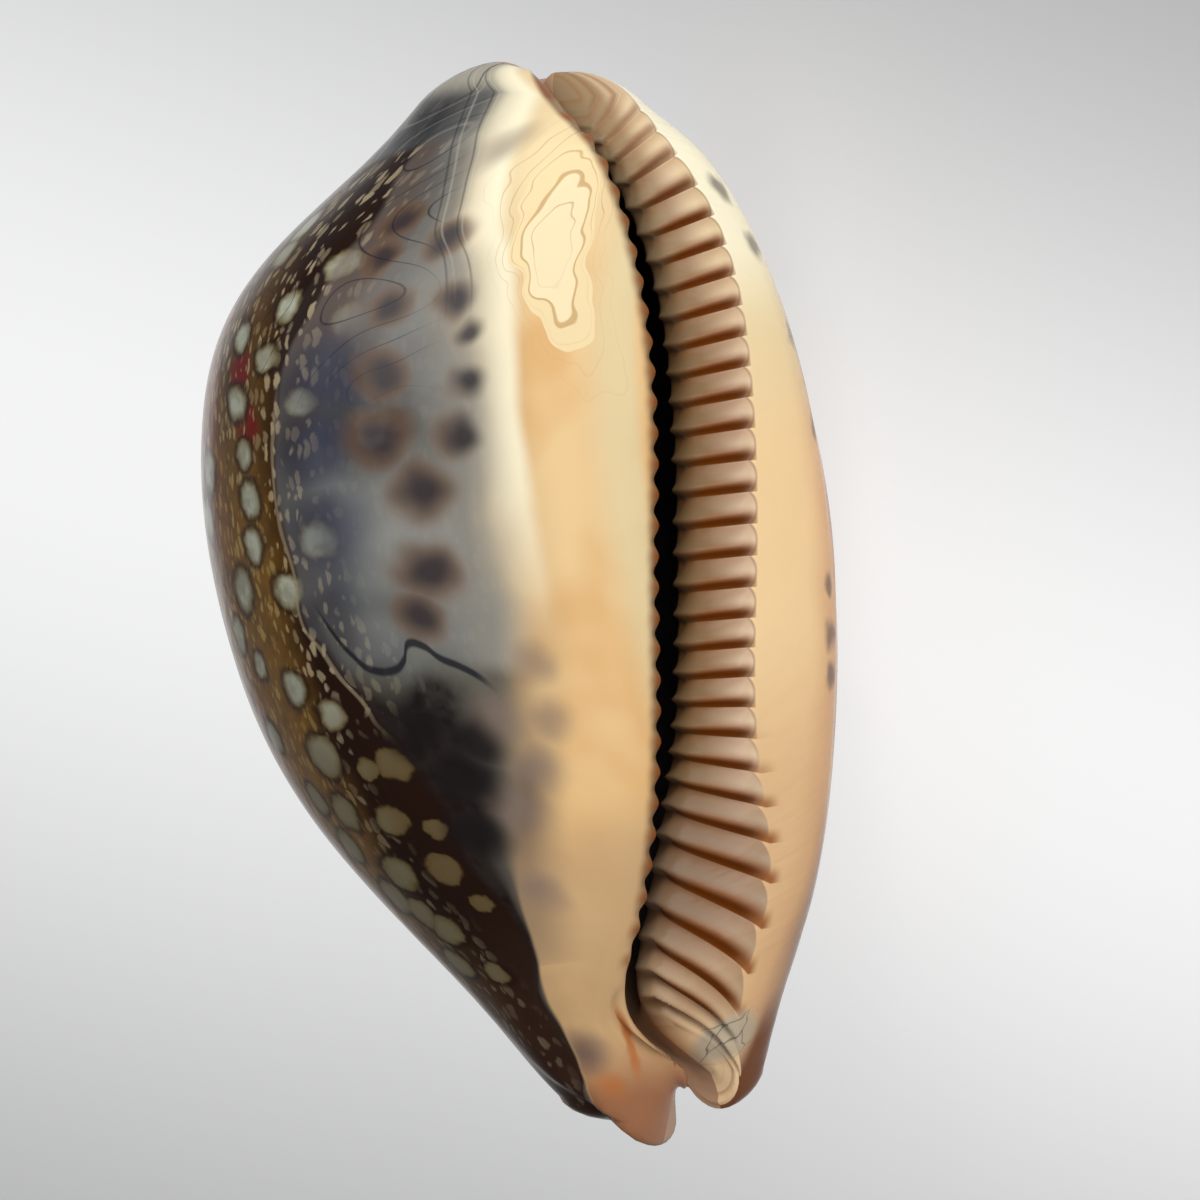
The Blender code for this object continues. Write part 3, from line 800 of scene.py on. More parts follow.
def wandered(place, reach, grain):
    """A place on the chart, shaken by up to half the reach."""
    return Signal(place.node("Group", reach, grain, node_tree=wander).outputs["Place"])


print("groups:", contour.name, wander.name)

# %% Spots
SPOT_SQUAT = 1.15


def nearest(place, spots):
    """Way to the nearest spot: 0 at its middle, 1 on its edge, more outside.

    Spots are listed by their half width, as (girth, along) in millimetres.
    """
    squat = place.vector("MULTIPLY", (1.0, SPOT_SQUAT, 0.0))
    ways = []
    for half_width, middles in spots.items():
        to_each = [squat.vector("DISTANCE", (x, y * SPOT_SQUAT, 0.0)) for x, y in middles]
        ways.append(least_of(to_each) / half_width)
    return least_of(ways)


def how_many(spots):
    return sum(len(middles) for middles in spots.values())


print("a spot of 1 mm half width is", round(2 / SPOT_SQUAT, 2), "mm long")

# %% [markdown]
# ## The glaze of the outside
# From below upwards the real shell shows: a brown back with a net of pale round
# spots and fine dashes; a thin blue-grey veil of later glaze over its edge, with
# soft slate spots that shine through; the cream and tan callus of the base; and
# the brown streaks on the teeth.  A painted picture would be quicker, but it would
# stretch over the ends.  So the material is laid in the same order as the glaze
# grew, each layer with its own mask on the chart.

# %% Start the outer material
glaze, glaze_tree, shader = new_material("glazed shell")
girth, along, girth_outer = attribute(glaze_tree, "chart").split()
tooth, across, lip_row = attribute(glaze_tree, "lip").split()
small_tooth, into_columella, station = attribute(glaze_tree, "columella").split()
flat_place = join(girth, along)
place = wandered(wandered(flat_place, 0.7, 0.5), 0.25, 2.2)
wide_place = wandered(flat_place, 2.6, 0.16)
soft_place = wandered(flat_place, 1.0, 0.35)
wide_girth, wide_along, _ = wide_place.split()
cloud = flat_place.noise(0.12)
mottle = flat_place.noise(0.55, 3.0, 0.6)
print("attributes read: chart, lip, columella")

# %% Back: brown ground, golden in the middle and russet towards the top of the back
CHOCOLATE = paint(34, 18, 10)
UMBER = paint(52, 32, 22)
OLIVE_BROWN = paint(116, 80, 24)
RUSSET = paint(132, 76, 56)
WINE = paint(110, 8, 14)
WINE_MARKS = {1.3: [(1.0, 11.1), (2.0, 14.4)]}
golden = along.curve([
    (-32, 0.0), (-24, 0.25), (-18, 0.7), (-10, 1.0), (8, 1.0), (15, 0.6), (22, 0.35), (32, 0.0)])
golden = golden * wide_girth.ease(-2.2, 1.2) * cloud.ease(0.25, 0.5, 0.7, 1.0)
russet = along.curve([
    (-32, 0.1), (-20, 0.35), (-10, 0.3), (0, 0.25), (7, 0.6), (14, 1.0), (20, 0.8), (32, 0.4)])
russet = russet * wide_girth.ease(3.5, 8.0)
back = blend(along.ease(-16.0, -24.0), CHOCOLATE, UMBER)
back = back.coats(
    (golden, OLIVE_BROWN),
    (russet, RUSSET),
    (mottle.ease(0.35, 0.75, 0.0, 0.35), CHOCOLATE),
    (nearest(place, WINE_MARKS).ease(0.6, 1.4, 0.8, 0.0), WINE))
print("wine-red marks:", how_many(WINE_MARKS))

# %% Back: fine pale dashes in rows
DASH = paint(166, 148, 118)
DASH_GOLDEN = paint(158, 132, 70)
DASHES_PER_MM = (1.65, 0.8, 1.0)
dash = place.vector("MULTIPLY", DASHES_PER_MM).cells(1.0, 0.8)
dash_random = Signal(dash.outputs["Color"]).split()
dashes = (Signal(dash.outputs["Distance"]) - dash_random[0] * 0.36).ease(0.14, -0.04)
dash_strength = along.curve([
    (-32, 0.0), (-24, 0.3), (-16, 0.3), (-8, 0.45), (-2, 0.8), (12, 0.85), (22, 0.8), (32, 0.3)])
dash_strength = dash_strength * along.ease(-8.0, -3.0).math("MAXIMUM", girth.ease(-3.5, -1.5))
dash_strength = dash_strength * dash_random[1].ease(0.1, 0.7, 0.45, 1.0)
back = back.coat(dashes * dash_strength, blend(golden, DASH, DASH_GOLDEN))
print("dashes to a square millimetre:", round(DASHES_PER_MM[0] * DASHES_PER_MM[1], 1))

# %% Back: large pale spots, listed where they show and scattered farther round
SPOT = paint(176, 178, 158)
SPOT_SHADE = paint(108, 94, 60)
SPOT_GOLDEN = paint(88, 66, 34)
BACK_SPOTS = {
    1.5: [(8.0, 9.0), (9.5, 6.3), (4.3, 2.0), (0.1, -7.8)],
    1.25: [(2.2, 12.5), (1.3, 7.0), (1.7, 4.4), (-1.0, 1.6), (-3.8, 4.2), (0.6, -3.9), (0.8, -11.1),
           (2.9, -13.2), (-0.8, -14.8), (1.5, -16.3), (6.5, -6.5), (7.0, -0.5), (-6.2, 16.2)],
    1.05: [(-2.0, 17.5), (1.8, 22.2), (1.6, 20.7), (-4.6, 19.5), (2.4, 16.2), (-1.0, 14.7),
           (-3.7, 12.0), (1.5, 9.6), (4.5, -2.4), (-1.9, -5.6), (-4.3, -8.6), (3.6, -10.3),
           (-2.6, -11.7), (-3.8, -14.8), (-0.1, -17.2), (-1.2, -18.4), (0.4, -20.4)],
    0.7: [(-4.8, -12.5), (-2.1, -21.2), (-4.4, -17.0), (-2.8, -8.8)]}
far = place.cells(0.34, 0.75)
far_size = Signal(far.outputs["Color"]).split()[1] * 0.14 + 0.24
far_reach = Signal(far.outputs["Distance"]) / far_size + girth.ease(11.0, 9.5, 0.0, 9.0)
spot_reach = least_of([nearest(place, BACK_SPOTS), far_reach])
spot_shade = mottle.ease(0.35, 0.65, 0.0, 0.5).math("MAXIMUM", along.ease(-1.0, -10.0, 0.0, 0.85))
in_dark = along.ease(-4.0, -8.0) * girth.ease(-1.0, -3.5, 0.0, 0.7)
spot_colour = blend(spot_reach.ease(0.45, 1.0), SPOT, SPOT_SHADE)
spot_colour = spot_colour.coats(
    (spot_shade, SPOT_SHADE),
    (in_dark, SPOT_GOLDEN))
back = back.coats(
    (spot_reach.ease(1.05, 1.45, 0.75, 0.0), CHOCOLATE),
    (spot_reach.ease(0.8, 1.1, 0.92, 0.0), spot_colour))
print("spots set by hand:", how_many(BACK_SPOTS))

# %% [markdown]
# ## The veil and its slate spots
# On the flank a later, thinner glaze lies over the back like smoked glass.  True
# translucent shells would cost long renders for little, so the veil is a ramp of
# greys over the way from the base's shoulder to its own edge, and the spots under
# it are soft and have brown fringes where they lie deeper.

# %% Veil: greys from the shoulder of the base (0) to the veil's edge (1)
LAVENDER = paint(112, 100, 92)
GREIGE = paint(88, 82, 72)
DUSK = paint(26, 21, 21)
BLUE_PATCHES = {3.0: [(-4.6, 9.0), (-4.4, 4.5), (-5.0, 13.5)]}
PALE_PATCH = {3.6: [(-8.5, 3.6)]}
shoulder = along.curve([
    (-32, -3.2), (-25, -3.4), (-20, -5.2), (-15, -7.6), (-10, -10.8), (-5, -13.0),
    (0, -14.4), (8, -14.6), (16, -14.0), (21, -11.0), (25, -8.2), (32, -3.0)])
veil_edge = along.curve([
    (-32, -2.9), (-25, -2.9), (-20, -4.6), (-15, -5.4), (-10, -5.6), (-6, -4.4),
    (-2, -2.6), (4, -1.3), (10, -1.5), (15, -2.6), (20, -4.0), (25, -3.0), (32, -1.0)])
flank = (wide_girth - shoulder) / (veil_edge - shoulder)
past_veil = wide_girth - veil_edge
veil = past_veil.ease(-4.2, -1.2, 1.0, 0.6) * past_veil.ease(0.2, -0.5)
veil_colour = flank.ramp([
    (0.0, paint(196, 180, 150)), (0.16, paint(142, 134, 120)), (0.4, paint(112, 110, 104)),
    (0.62, paint(92, 94, 92)), (0.85, paint(68, 70, 76)), (1.0, paint(52, 50, 54))])
upper_flank = wide_along.ease(6.0, 9.0) * wide_along.ease(18.0, 14.0, 0.0, 0.7) * flank.ease(0.1, 0.35)
dusk = wide_along.ease(-1.8, -5.0) * flank.ease(0.1, 0.55) * mottle.ease(0.3, 0.6, 1.0, 0.8)
veil_colour = veil_colour.coats(
    (upper_flank, paint(60, 56, 54)),
    (cloud.ease(0.40, 0.62, 0.0, 0.4), paint(146, 146, 140)),
    (along.ease(11.0, 17.0) * flank.ease(0.35, 0.8), LAVENDER),
    (nearest(wide_place, BLUE_PATCHES).ease(0.3, 1.3, 0.8, 0.0), paint(56, 60, 76)),
    (nearest(wide_place, PALE_PATCH).ease(0.2, 1.3, 0.35, 0.0), paint(170, 168, 160)),
    (wide_along.ease(-3.0, -5.0, 0.0, 0.8), GREIGE),
    (dusk, DUSK))
surface = back.coat(veil * 0.95, veil_colour)
veil_rim = lines(past_veil, 0.1, 0.05, 0.15) * along.ease(-8.0, -4.0) * along.ease(14.0, 10.0, 0.0, 0.55)
surface = surface.coat(veil_rim, paint(150, 134, 108))
print("veil laid over the back, with", how_many(BLUE_PATCHES), "blue patches")

# %% Slate spots that shine through the veil
SLATE_SPOTS = {
    1.8: [(-8.0, 9.5), (-10.0, 6.3), (-9.6, 1.8)],
    1.4: [(-8.3, 13.1), (-12.6, 9.3), (-8.5, -0.6)],
    1.15: [(-12.1, 16.8), (-13.1, 12.1), (-10.2, 20.3), (-8.5, 16.8)],
    0.9: [(-13.2, 15.0), (-6.5, 21.5), (-6.8, 19.6)]}
DARK_SPOTS = {1.9: [(-6.6, -6.8), (-8.0, -9.8)], 1.5: [(-9.4, -8.0), (-6.8, -13.0)], 0.7: [(-7.0, -5.2)]}
FAINT_SPOTS = {
    1.5: [(-12.2, -9.8), (-9.9, -11.8), (-11.2, -6.6)],
    1.2: [(-14.4, -3.9), (-8.1, -16.8), (-14.2, -7.2), (-8.9, 25.3)]}
slate_reach = nearest(soft_place, SLATE_SPOTS)
dark_reach = nearest(soft_place, DARK_SPOTS)
faint_reach = nearest(soft_place, FAINT_SPOTS)
print("slate, dark and faint spots:", [how_many(q) for q in (SLATE_SPOTS, DARK_SPOTS, FAINT_SPOTS)])

# %% [markdown]
# ## The callus of the base
# The base is the newest glaze: thick, opaque, cream and tan, greenish along the slit,
# with a painted highlight in cream along its shoulder.  One flat colour would look
# like plastic, so it is a stack of soft coats.  On its posterior half lies a pale
# leaf, a painted reflection of a window, with tide loops in it like a contour map.

# %% Base: cream and tan callus
CALLUS = paint(244, 208, 152)
CALLUS_TAN = paint(232, 186, 126)
# a painted highlight colour, laid along the base's shoulder and along the lip's crest
CREAM_HIGHLIGHT = paint(255, 246, 214)
CALLUS_GREEN = paint(232, 220, 176)
SOFTNESS_ON_FLANK, SOFTNESS_AT_FINGER = 2.4, 0.25
into_base = wide_girth * 0.35 + girth * 0.65 - shoulder
callus_softness = along.ease(-11.0, -17.0, SOFTNESS_ON_FLANK, SOFTNESS_AT_FINGER)
callus = (into_base / callus_softness).ease(0.6, -0.6)
shade_of_flank = along.curve([(-21, 0.0), (-17, 0.9), (-11, 0.95), (-8, 0.5), (0, 0.2)])
callus_and_shine = blend(cloud.ease(0.35, 0.65), CALLUS, CALLUS_TAN)
callus_and_shine = callus_and_shine.coats(
    (wide_along.ease(-4.0, -14.0, 0.0, 0.7), CALLUS_TAN),
    (into_base.ease(-4.0, -8.0) * along.ease(-8.0, 4.0, 0.0, 0.45), CALLUS_TAN),
    (along.ease(14.0, 24.0, 0.0, 0.75), paint(246, 226, 180)),
    (shade_of_flank * into_base.ease(-3.8, -0.5), paint(104, 88, 74)),
    (along.ease(-11.0, -16.0, 0.0, 0.55), paint(182, 150, 114)),
    # painted highlight: a cream band along the shoulder of the base
    (into_base.ease(-2.4, -1.2) * along.ease(-4.0, 8.0) * 0.85, CREAM_HIGHLIGHT),
    (girth.ease(-24.6, -23.4) * girth.ease(-19.5, -22.5) * 0.6, CALLUS_GREEN))
print("callus edge softens over, mm:", SOFTNESS_ON_FLANK, "and", SOFTNESS_AT_FINGER)

# %% Painted reflection of a window: a pale leaf on the base, with tide loops of the glaze inside it
LEAF_MIDDLE = (-17.0, 19.3, 0.0)
LEAF_TURN = 0.56
LEAF_HALF_WIDTH, LEAF_HALF_LENGTH = 2.2, 6.8
WINDOW_SHINE = paint(248, 224, 174)
WINDOW_SHINE_HEART = paint(252, 232, 188)
LOOP = paint(206, 166, 108)
leaf_x, leaf_y, _ = wandered(flat_place, 2.4, 0.36).vector("SUBTRACT", LEAF_MIDDLE).split()
leaf_long = leaf_x * math.sin(LEAF_TURN) + leaf_y * math.cos(LEAF_TURN)
leaf_wide = leaf_x * math.cos(LEAF_TURN) - leaf_y * math.sin(LEAF_TURN)
leaf = join(leaf_wide / LEAF_HALF_WIDTH, leaf_long / LEAF_HALF_LENGTH).vector("LENGTH")
thin_loops = lines(leaf, 0.38, 0.003, 0.018, 0.27) * leaf.ease(0.2, 0.3) * leaf.ease(1.9, 1.3)
thin_loops = thin_loops * leaf_long.ease(-2.5, 1.5, 0.15, 0.65)
loops = (lines(leaf, 0.68, 0.02, 0.02) * 0.8).math("MAXIMUM", thin_loops)
# the pale leaf and its paler heart are a painted reflection of a window; the loops are tide lines in the
# glaze
callus_and_shine = callus_and_shine.coats(
    (leaf.ease(1.02, 0.99), WINDOW_SHINE),
    (leaf.ease(0.72, 0.66), WINDOW_SHINE_HEART))
surface = surface.coat(callus, callus_and_shine.coat(loops, LOOP))
print("leaf, mm:", 2 * LEAF_HALF_WIDTH, "x", 2 * LEAF_HALF_LENGTH)

# %% Slate spots over veil and callus, with brown fringes
SLATE = paint(52, 47, 50)
SPOT_FRINGE = paint(116, 84, 54)
surface = surface.coats(
    (faint_reach.ease(0.1, 1.7, 0.6, 0.0), paint(134, 114, 102)),
    (dark_reach.ease(0.3, 1.6, 0.9, 0.0), DUSK),
    (slate_reach.ease(0.7, 1.55, 0.6, 0.0) * girth.ease(-14.0, -11.0), SPOT_FRINGE),
    (slate_reach.ease(0.2, 1.3, 0.92, 0.0), SLATE))
print("slate spots laid")

# %% Tide line on the flank, and dark contours in the glaze of the posterior end
TIDE = paint(30, 30, 36)
tide = along - girth.curve([
    (-12, -5.8), (-11, -4.4), (-10, -3.6), (-9, -3.0), (-8.2, -2.2), (-7.5, -2.0), (-7, -2.9),
    (-6.3, -3.4), (-5, -3.2), (-4.3, -2.4), (-3.4, -0.8), (-2.6, 1.2)])
on_tide = girth.ease(-11.8, -10.6) * girth.ease(-2.6, -3.4)
below_tide = tide.ease(-2.4, -0.6) * tide.ease(0.0, -0.2) * on_tide
surface = surface.coats(
    (below_tide * 0.35, paint(112, 110, 98)),
    (lines(tide, 0.0, 0.12, 0.24) * on_tide * 0.9, TIDE))
swirl = join(girth * 0.6, along).noise(0.2, 0.0)
swirl_lines = lines(swirl, 0.46, 0.0, 0.008, 0.17)
on_swirl = along.ease(10.0, 16.0) * flank.ease(0.1, 0.5) * girth.ease(3.0, 0.0)
surface = surface.coat(swirl_lines * on_swirl * 0.75, TIDE)
print("tide line and swirls laid")

# %% [markdown]
# ## Glaze of the two ends
# The sunken spire is sealed under grey translucent glaze with swirls in it.  At the
# other end the finger is pinkish brown with an orange furrow, and the tip of the
# lip is grey and finely cracked.  The outer margin wears the same callus as the
# base, with a few dark spots.

# %% Callus of the spire
SPIRE = paint(88, 88, 86)
SPIRE_DEEP = paint(46, 48, 52)
SPIRE_PALE = paint(206, 198, 176)
SPIRE_BEGINS = 25.6
SPIRE_HOLLOWS = {1.4: [(-0.4, 27.4), (-2.4, 27.2)]}
spire_edge = wide_girth * 0.12 + along - SPIRE_BEGINS
spire = spire_edge.ease(-0.3, 0.5) * flank.ease(-0.1, 0.4)
spire_colour = blend(nearest(soft_place, SPIRE_HOLLOWS).ease(0.4, 1.5, 0.85, 0.0), SPIRE, SPIRE_DEEP)
spire_colour = spire_colour.coats(
    (along.ease(28.6, 30.0, 0.0, 0.6), SPIRE_PALE),
    (lines(swirl, 0.50, 0.0, 0.012, 0.17) * 0.2, SPIRE_PALE),
    (swirl_lines * 0.7, TIDE))
surface = surface.coat(spire * 0.9, spire_colour)
in_shoulder = into_base.ease(0.0, 0.3)
pale_lines = lines(into_base, 0.5, 0.0, 0.12, 1.2) * into_base.ease(2.4, 1.8)
dark_lines = lines(into_base, 0.8, 0.0, 0.12, 1.3) * into_base.ease(2.8, 2.2)
surface = surface.coats(
    (pale_lines * in_shoulder * along.ease(16.0, 21.0, 0.0, 0.25), SPIRE_PALE),
    (dark_lines * in_shoulder * along.ease(15.0, 19.0, 0.0, 0.5), TIDE))
print("spire begins, mm from the middle:", SPIRE_BEGINS)

# %% Finger: warm pinkish tip with an orange spot, and an orange furrow
FINGER_TIP = paint(154, 98, 66)
FINGER_SHADE = paint(96, 76, 76)
ORANGE = paint(186, 108, 52)
on_base_side = into_base.ease(0.1, -0.2)
shade_spot = nearest(soft_place, {1.6: [(-4.0, -26.3)]}).ease(0.0, 1.4, 0.8, 0.0)
orange_spot = nearest(soft_place, {1.0: [(-4.6, -28.5)]}).ease(0.0, 1.5, 0.7, 0.0)
furrow_way = girth - along.curve([(-30, -5.9), (-27.5, -6.8), (-26, -7.2), (-23, -7.6)])
furrow = furrow_way.math("ABSOLUTE").ease(0.1, 0.55, 0.85, 0.0)
furrow = furrow * along.ease(-29.0, -27.0) * along.ease(-23.5, -25.0)
surface = surface.coats(
    (wide_along.ease(-25.5, -29.5, 0.0, 0.9) * on_base_side, FINGER_TIP),
    (shade_spot * on_base_side, FINGER_SHADE),
    (orange_spot * on_base_side, ORANGE),
    (furrow, ORANGE))
print("finger painted")

# %% Outer margin: the same callus on the other side, with a few dark spots and a painted highlight along the crest
PEACH = paint(248, 214, 162)
PEACH_DEEP = paint(222, 174, 126)
MARGIN_BROWN = paint(150, 122, 106)
MARGIN_SPOT = paint(78, 62, 58)
LIP_TIP = paint(112, 62, 30)
MARGIN_SPOTS = {
    1.6: [(-1.5, -9.5), (0.5, 2.5), (1.0, 10.5), (-0.5, 17.5), (1.5, -15.0)],
    1.0: [(-7.4, 22.3), (-6.6, 18.8), (-5.2, 13.5), (-5.0, -4.3), (-4.8, -6.6)],
    0.8: [(-5.3, -1.2), (-4.6, 8.0)]}
outer_place = join(girth_outer, along)
outer_edge = wandered(outer_place, 1.6, 0.2).split()[0]
surface = surface.coats(
    (outer_edge.ease(10.0, 6.0), paint(176, 164, 142)),
    (outer_edge.ease(6.0, 2.0), PEACH_DEEP))
margin_and_crest_shine = blend(outer_edge.ease(-8.0, -4.0), PEACH, PEACH_DEEP)
margin_and_crest_shine = margin_and_crest_shine.coats(
    (along.ease(-2.0, -14.0, 0.0, 0.6), PEACH_DEEP),
    (along.ease(6.0, 14.0) * along.ease(26.0, 18.0, 0.0, 0.5), CALLUS_GREEN),
    (outer_edge.ease(-5.5, -2.5) * along.ease(-11.0, -20.0, 0.0, 0.85), MARGIN_BROWN),
    (outer_edge.ease(-7.0, -4.5) * along.ease(20.0, 27.0, 0.0, 0.8), SPIRE),
    # painted highlight: cream along the lip's crest at the posterior end
    (lip_row.ease(1.5, 1.05) * along.ease(13.0, 20.0), CREAM_HIGHLIGHT))
on_outer_base = girth_outer.ease(1.0, -1.0) * lip_row.math("GREATER_THAN", 0.0)
margin_reach = nearest(wandered(outer_place, 1.0, 0.6), MARGIN_SPOTS)
tip_rim = girth_outer.ease(-4.6, -3.4) * along.ease(-24.0, -27.5, 0.0, 0.9)
surface = surface.coats(
    (on_outer_base, margin_and_crest_shine),
    (margin_reach.ease(0.3, 1.4, 0.75, 0.0) * girth_outer.ease(12.0, 8.0), MARGIN_SPOT),
    (tip_rim * on_outer_base, LIP_TIP))
print("spots on the outer margin:", how_many(MARGIN_SPOTS))

# %% [markdown]
# ## Glaze of the teeth
# Each tooth of the outer lip is a taupe pad with a brown streak down its steep side.
# Painted shade darkens the pads towards the slit, where the lip curls in, and at the
# foot of each flute; towards the crest they pale to a round cream end.  The streaks
# could be modelled as inlays, but on the real shell they are only stained glaze, so
# they follow the tooth number and the way across the lip.  The columella has an
# orange-brown dot at each tooth, and painted shade along the edge of the slit.

# %% Teeth: pads, with painted shade towards the slit and at the foot of each flute
TAUPE = paint(148, 122, 100)
PAD_PINK_AND_SHADE = paint(138, 92, 72)
SOFT_STREAK_AND_FLUTE_SHADE = paint(150, 90, 42)
u = (tooth + 0.05).math("FRACT")
on_lip = lip_row.math("LESS_THAN", 1.0)
anterior = along.ease(-8.0, -15.0)
toothed = along.ease(-27.0, -24.5)
past_end = across - ((u - 0.5).math("POWER", 2.0) * -0.36 + 0.98)
in_band = on_lip * past_end.ease(0.03, 0.0)
# the ramp across the band is partly the pads' own tone and partly painted shade, darker where the lip
# curls into the slit
pad_tone_and_shade = across.ramp([
    (0.0, paint(120, 94, 64)), (0.35, paint(146, 118, 86)), (0.55, paint(176, 148, 118)),
    (0.75, paint(206, 178, 148)), (0.92, paint(230, 202, 168)), (1.0, paint(240, 212, 174))])
pad_tone_and_shade = pad_tone_and_shade.coats(
    (along.ease(-10.0, -16.0, 0.0, 0.6), TAUPE),
    (along.ease(-19.0, -24.0, 0.0, 0.8), paint(196, 164, 128)),
    (along.ease(-24.5, -27.0), paint(240, 204, 158)),
    (along.ease(12.0, 20.0) * across.ease(0.35, 0.8, 0.2, 0.9), paint(232, 206, 164)),
    # painted shade: the pads darken towards the foot of each flute, beside the next tooth's steep side
    (u.ease(0.5, 1.0, 0.0, 0.35) * toothed, SOFT_STREAK_AND_FLUTE_SHADE))
ends = lines(past_end, 0.0, 0.006, 0.03) * (anterior * -0.8 + 0.8) * on_lip * 0.5
# pink on the rounded-over side of each tooth: partly pigment, partly painted shade
pink_and_shade = u.ease(0.1, 0.2) * u.ease(0.5, 0.25) * across.ease(0.3, 0.6) * across.ease(1.0, 0.85)
surface = surface.coats(
    (in_band, pad_tone_and_shade),
    (ends, paint(140, 100, 76)),
    (pink_and_shade * on_lip * 0.4, PAD_PINK_AND_SHADE))
print("pads laid")

# %% Teeth: streaks on the steep side
STREAK = paint(118, 58, 8)
side = u / across.curve([(0.0, 0.36), (0.2, 0.48), (0.5, 0.62), (0.8, 0.64), (1.0, 0.5)])
streak = u.ease(0.0, 0.04) * side.ease(1.0, 0.25)
fade = across.curve([(0.0, 0.25), (0.12, 0.7), (0.3, 1.0), (0.75, 1.0), (0.9, 0.75), (1.0, 0.15)])
tail = anterior * lip_row.ease(1.045, 1.0, 0.0, 0.9)
strength = (fade * on_lip).math("MAXIMUM", tail) * toothed * across.ease(0.0, 0.06)
strength = strength * along.ease(28.0, 20.0, 0.35, 1.0)
streak_colour = blend(side.ease(0.75, 0.3), SOFT_STREAK_AND_FLUTE_SHADE, STREAK)
streak_colour = streak_colour.coat(anterior * across.ease(0.8, 1.0), paint(150, 84, 30))
surface = surface.coat(streak * strength, streak_colour)
print("streaks laid")

# %% Lip tip: cracked grey glaze at the anterior end
GREY_GLAZE = paint(186, 174, 152)
CRACKED_TIP = {1.8: [(-5.8, -26.8)]}
cracked = nearest(outer_place, CRACKED_TIP).ease(0.6, 1.2, 0.8, 0.0) * on_outer_base
cracks = wandered(outer_place, 0.8, 1.0).cells(0.6, 1.0, "DISTANCE_TO_EDGE").outputs["Distance"]
surface = surface.coats(
    (cracked, GREY_GLAZE),
    (Signal(cracks).ease(0.0, 0.05, 0.8, 0.0) * cracked, TIDE))
print("cracked tip laid")

# %% Columella: painted shade along the slit edge, and an orange-brown dot at each small tooth
SLIT_EDGE_SHADE = paint(122, 92, 60)
DOT = paint(138, 74, 24)
# painted shade along the columella's edge, where it rolls into the slit
slit_edge_shade = into_columella.ease(0.22, 0.40) * station.ease(0.12, 0.22)
small_side = (small_tooth - small_tooth.math("ROUND")).math("ABSOLUTE")
dot = small_side.ease(0.40, 0.0) * station.ease(0.09, 0.14)
dot = dot * into_columella.ease(0.20, 0.42) * into_columella.ease(0.95, 0.75)
surface = surface.coats(
    (slit_edge_shade * 0.85, SLIT_EDGE_SHADE),
    (dot * 0.9, DOT))
print("small teeth marked every", COLUMELLAR_PITCH, "mm")

# %% Finish of the glaze
feed(shader.inputs["Base Color"], surface)
shader.inputs["Roughness"].default_value = 0.16
shader.inputs["IOR"].default_value = 1.45
shader.inputs["Specular IOR Level"].default_value = 0.12
bump = add_node(glaze_tree, "Bump")
bump.inputs["Strength"].default_value = 0.12
bump.inputs["Distance"].default_value = 0.6 * MM
feed(bump.inputs["Height"], flat_place.noise(0.35))
feed(shader.inputs["Normal"], Signal(bump.outputs[0]))
print("glaze nodes:", len(glaze_tree.nodes))

# %% [markdown]
# ## The lining
# Inside, the chamber is violet brown, painted dark as shade since no light reaches
# it.  A plain dark satin with a slow cloud in it is enough, since only a thin line
# of it shows.

# %% Lining, painted dark as shade, with paler canals at both ends
LINING_IN_SHADE = paint(58, 46, 50)
LINING_DEEP_IN_SHADE = paint(24, 16, 18)
CANAL_FLOOR = paint(176, 138, 106)
lining, lining_tree, inner_shader = new_material("shell lining")
inner_place = attribute(lining_tree, "chart")
inner_along = inner_place.split()[1]
canal = inner_along.ease(-21.0, -25.5).math("MAXIMUM", inner_along.ease(24.0, 27.5))
inner_colour_and_shade = blend(inner_place.noise(0.3, 3.0), LINING_DEEP_IN_SHADE, LINING_IN_SHADE)
feed(inner_shader.inputs["Base Color"], inner_colour_and_shade.coat(canal, CANAL_FLOOR))
inner_shader.inputs["Roughness"].default_value = 0.45
shell.data.materials.append(glaze)
shell.data.materials.append(lining)
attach(shell, "root")
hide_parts("cowrie_shell")
print("materials:", [m.name for m in shell.data.materials])

# %% [markdown]
# ## Floor and light
# A broad soft box hangs above the shell, a second one stands low on the side that
# the base faces, and the pale floor throws light back.  Large lamps give the long
# soft-edged shines that glazed things have, and one quiet shadow.  The floor is
# paper in front of a lit wall: seen directly it glows in a broad band and falls off
# to grey, while its bounce and its shadow stay those of plain paper.

# %% Floor
FLOOR_SIZE = 2.5
FLOOR_COLOUR = (0.93, 0.93, 0.93, 1.0)
PAPER_GLOW = 0.78
BAND_SLANT = 0.22
BAND_OFFSET = 3.6
BAND_REACH = 61.0
BAND_TAPER = -0.19
BAND_LEAST_REACH = 20.0
BAND_FALL = -2.0
GLOW_LEAST = 0.25
floor_mesh = bpy.data.meshes.new("floor")
slab = bmesh.new()
bmesh.ops.create_grid(slab, x_segments=2, y_segments=2, size=FLOOR_SIZE)
slab.to_mesh(floor_mesh)
slab.free()
floor = bpy.data.objects.new("floor", floor_mesh)
bpy.context.scene.collection.objects.link(floor)
floor_paint, floor_tree, floor_shader = new_material("pale floor")
floor_shader.inputs["Base Color"].default_value = FLOOR_COLOUR
floor_shader.inputs["Roughness"].default_value = 0.9
floor_shader.inputs["Specular IOR Level"].default_value = 0.1
paper_place = Signal(add_node(floor_tree, "TexCoord").outputs["Object"]).scaled(1 / MM)
paper_x, paper_y, _ = paper_place.split()
from_band = paper_x * BAND_SLANT + BAND_OFFSET + paper_y
band_share = from_band / (paper_x * BAND_TAPER + BAND_REACH).math("MAXIMUM", BAND_LEAST_REACH)
glow_level = (band_share * band_share * BAND_FALL).math("EXPONENT") * (1.0 - GLOW_LEAST) + GLOW_LEAST
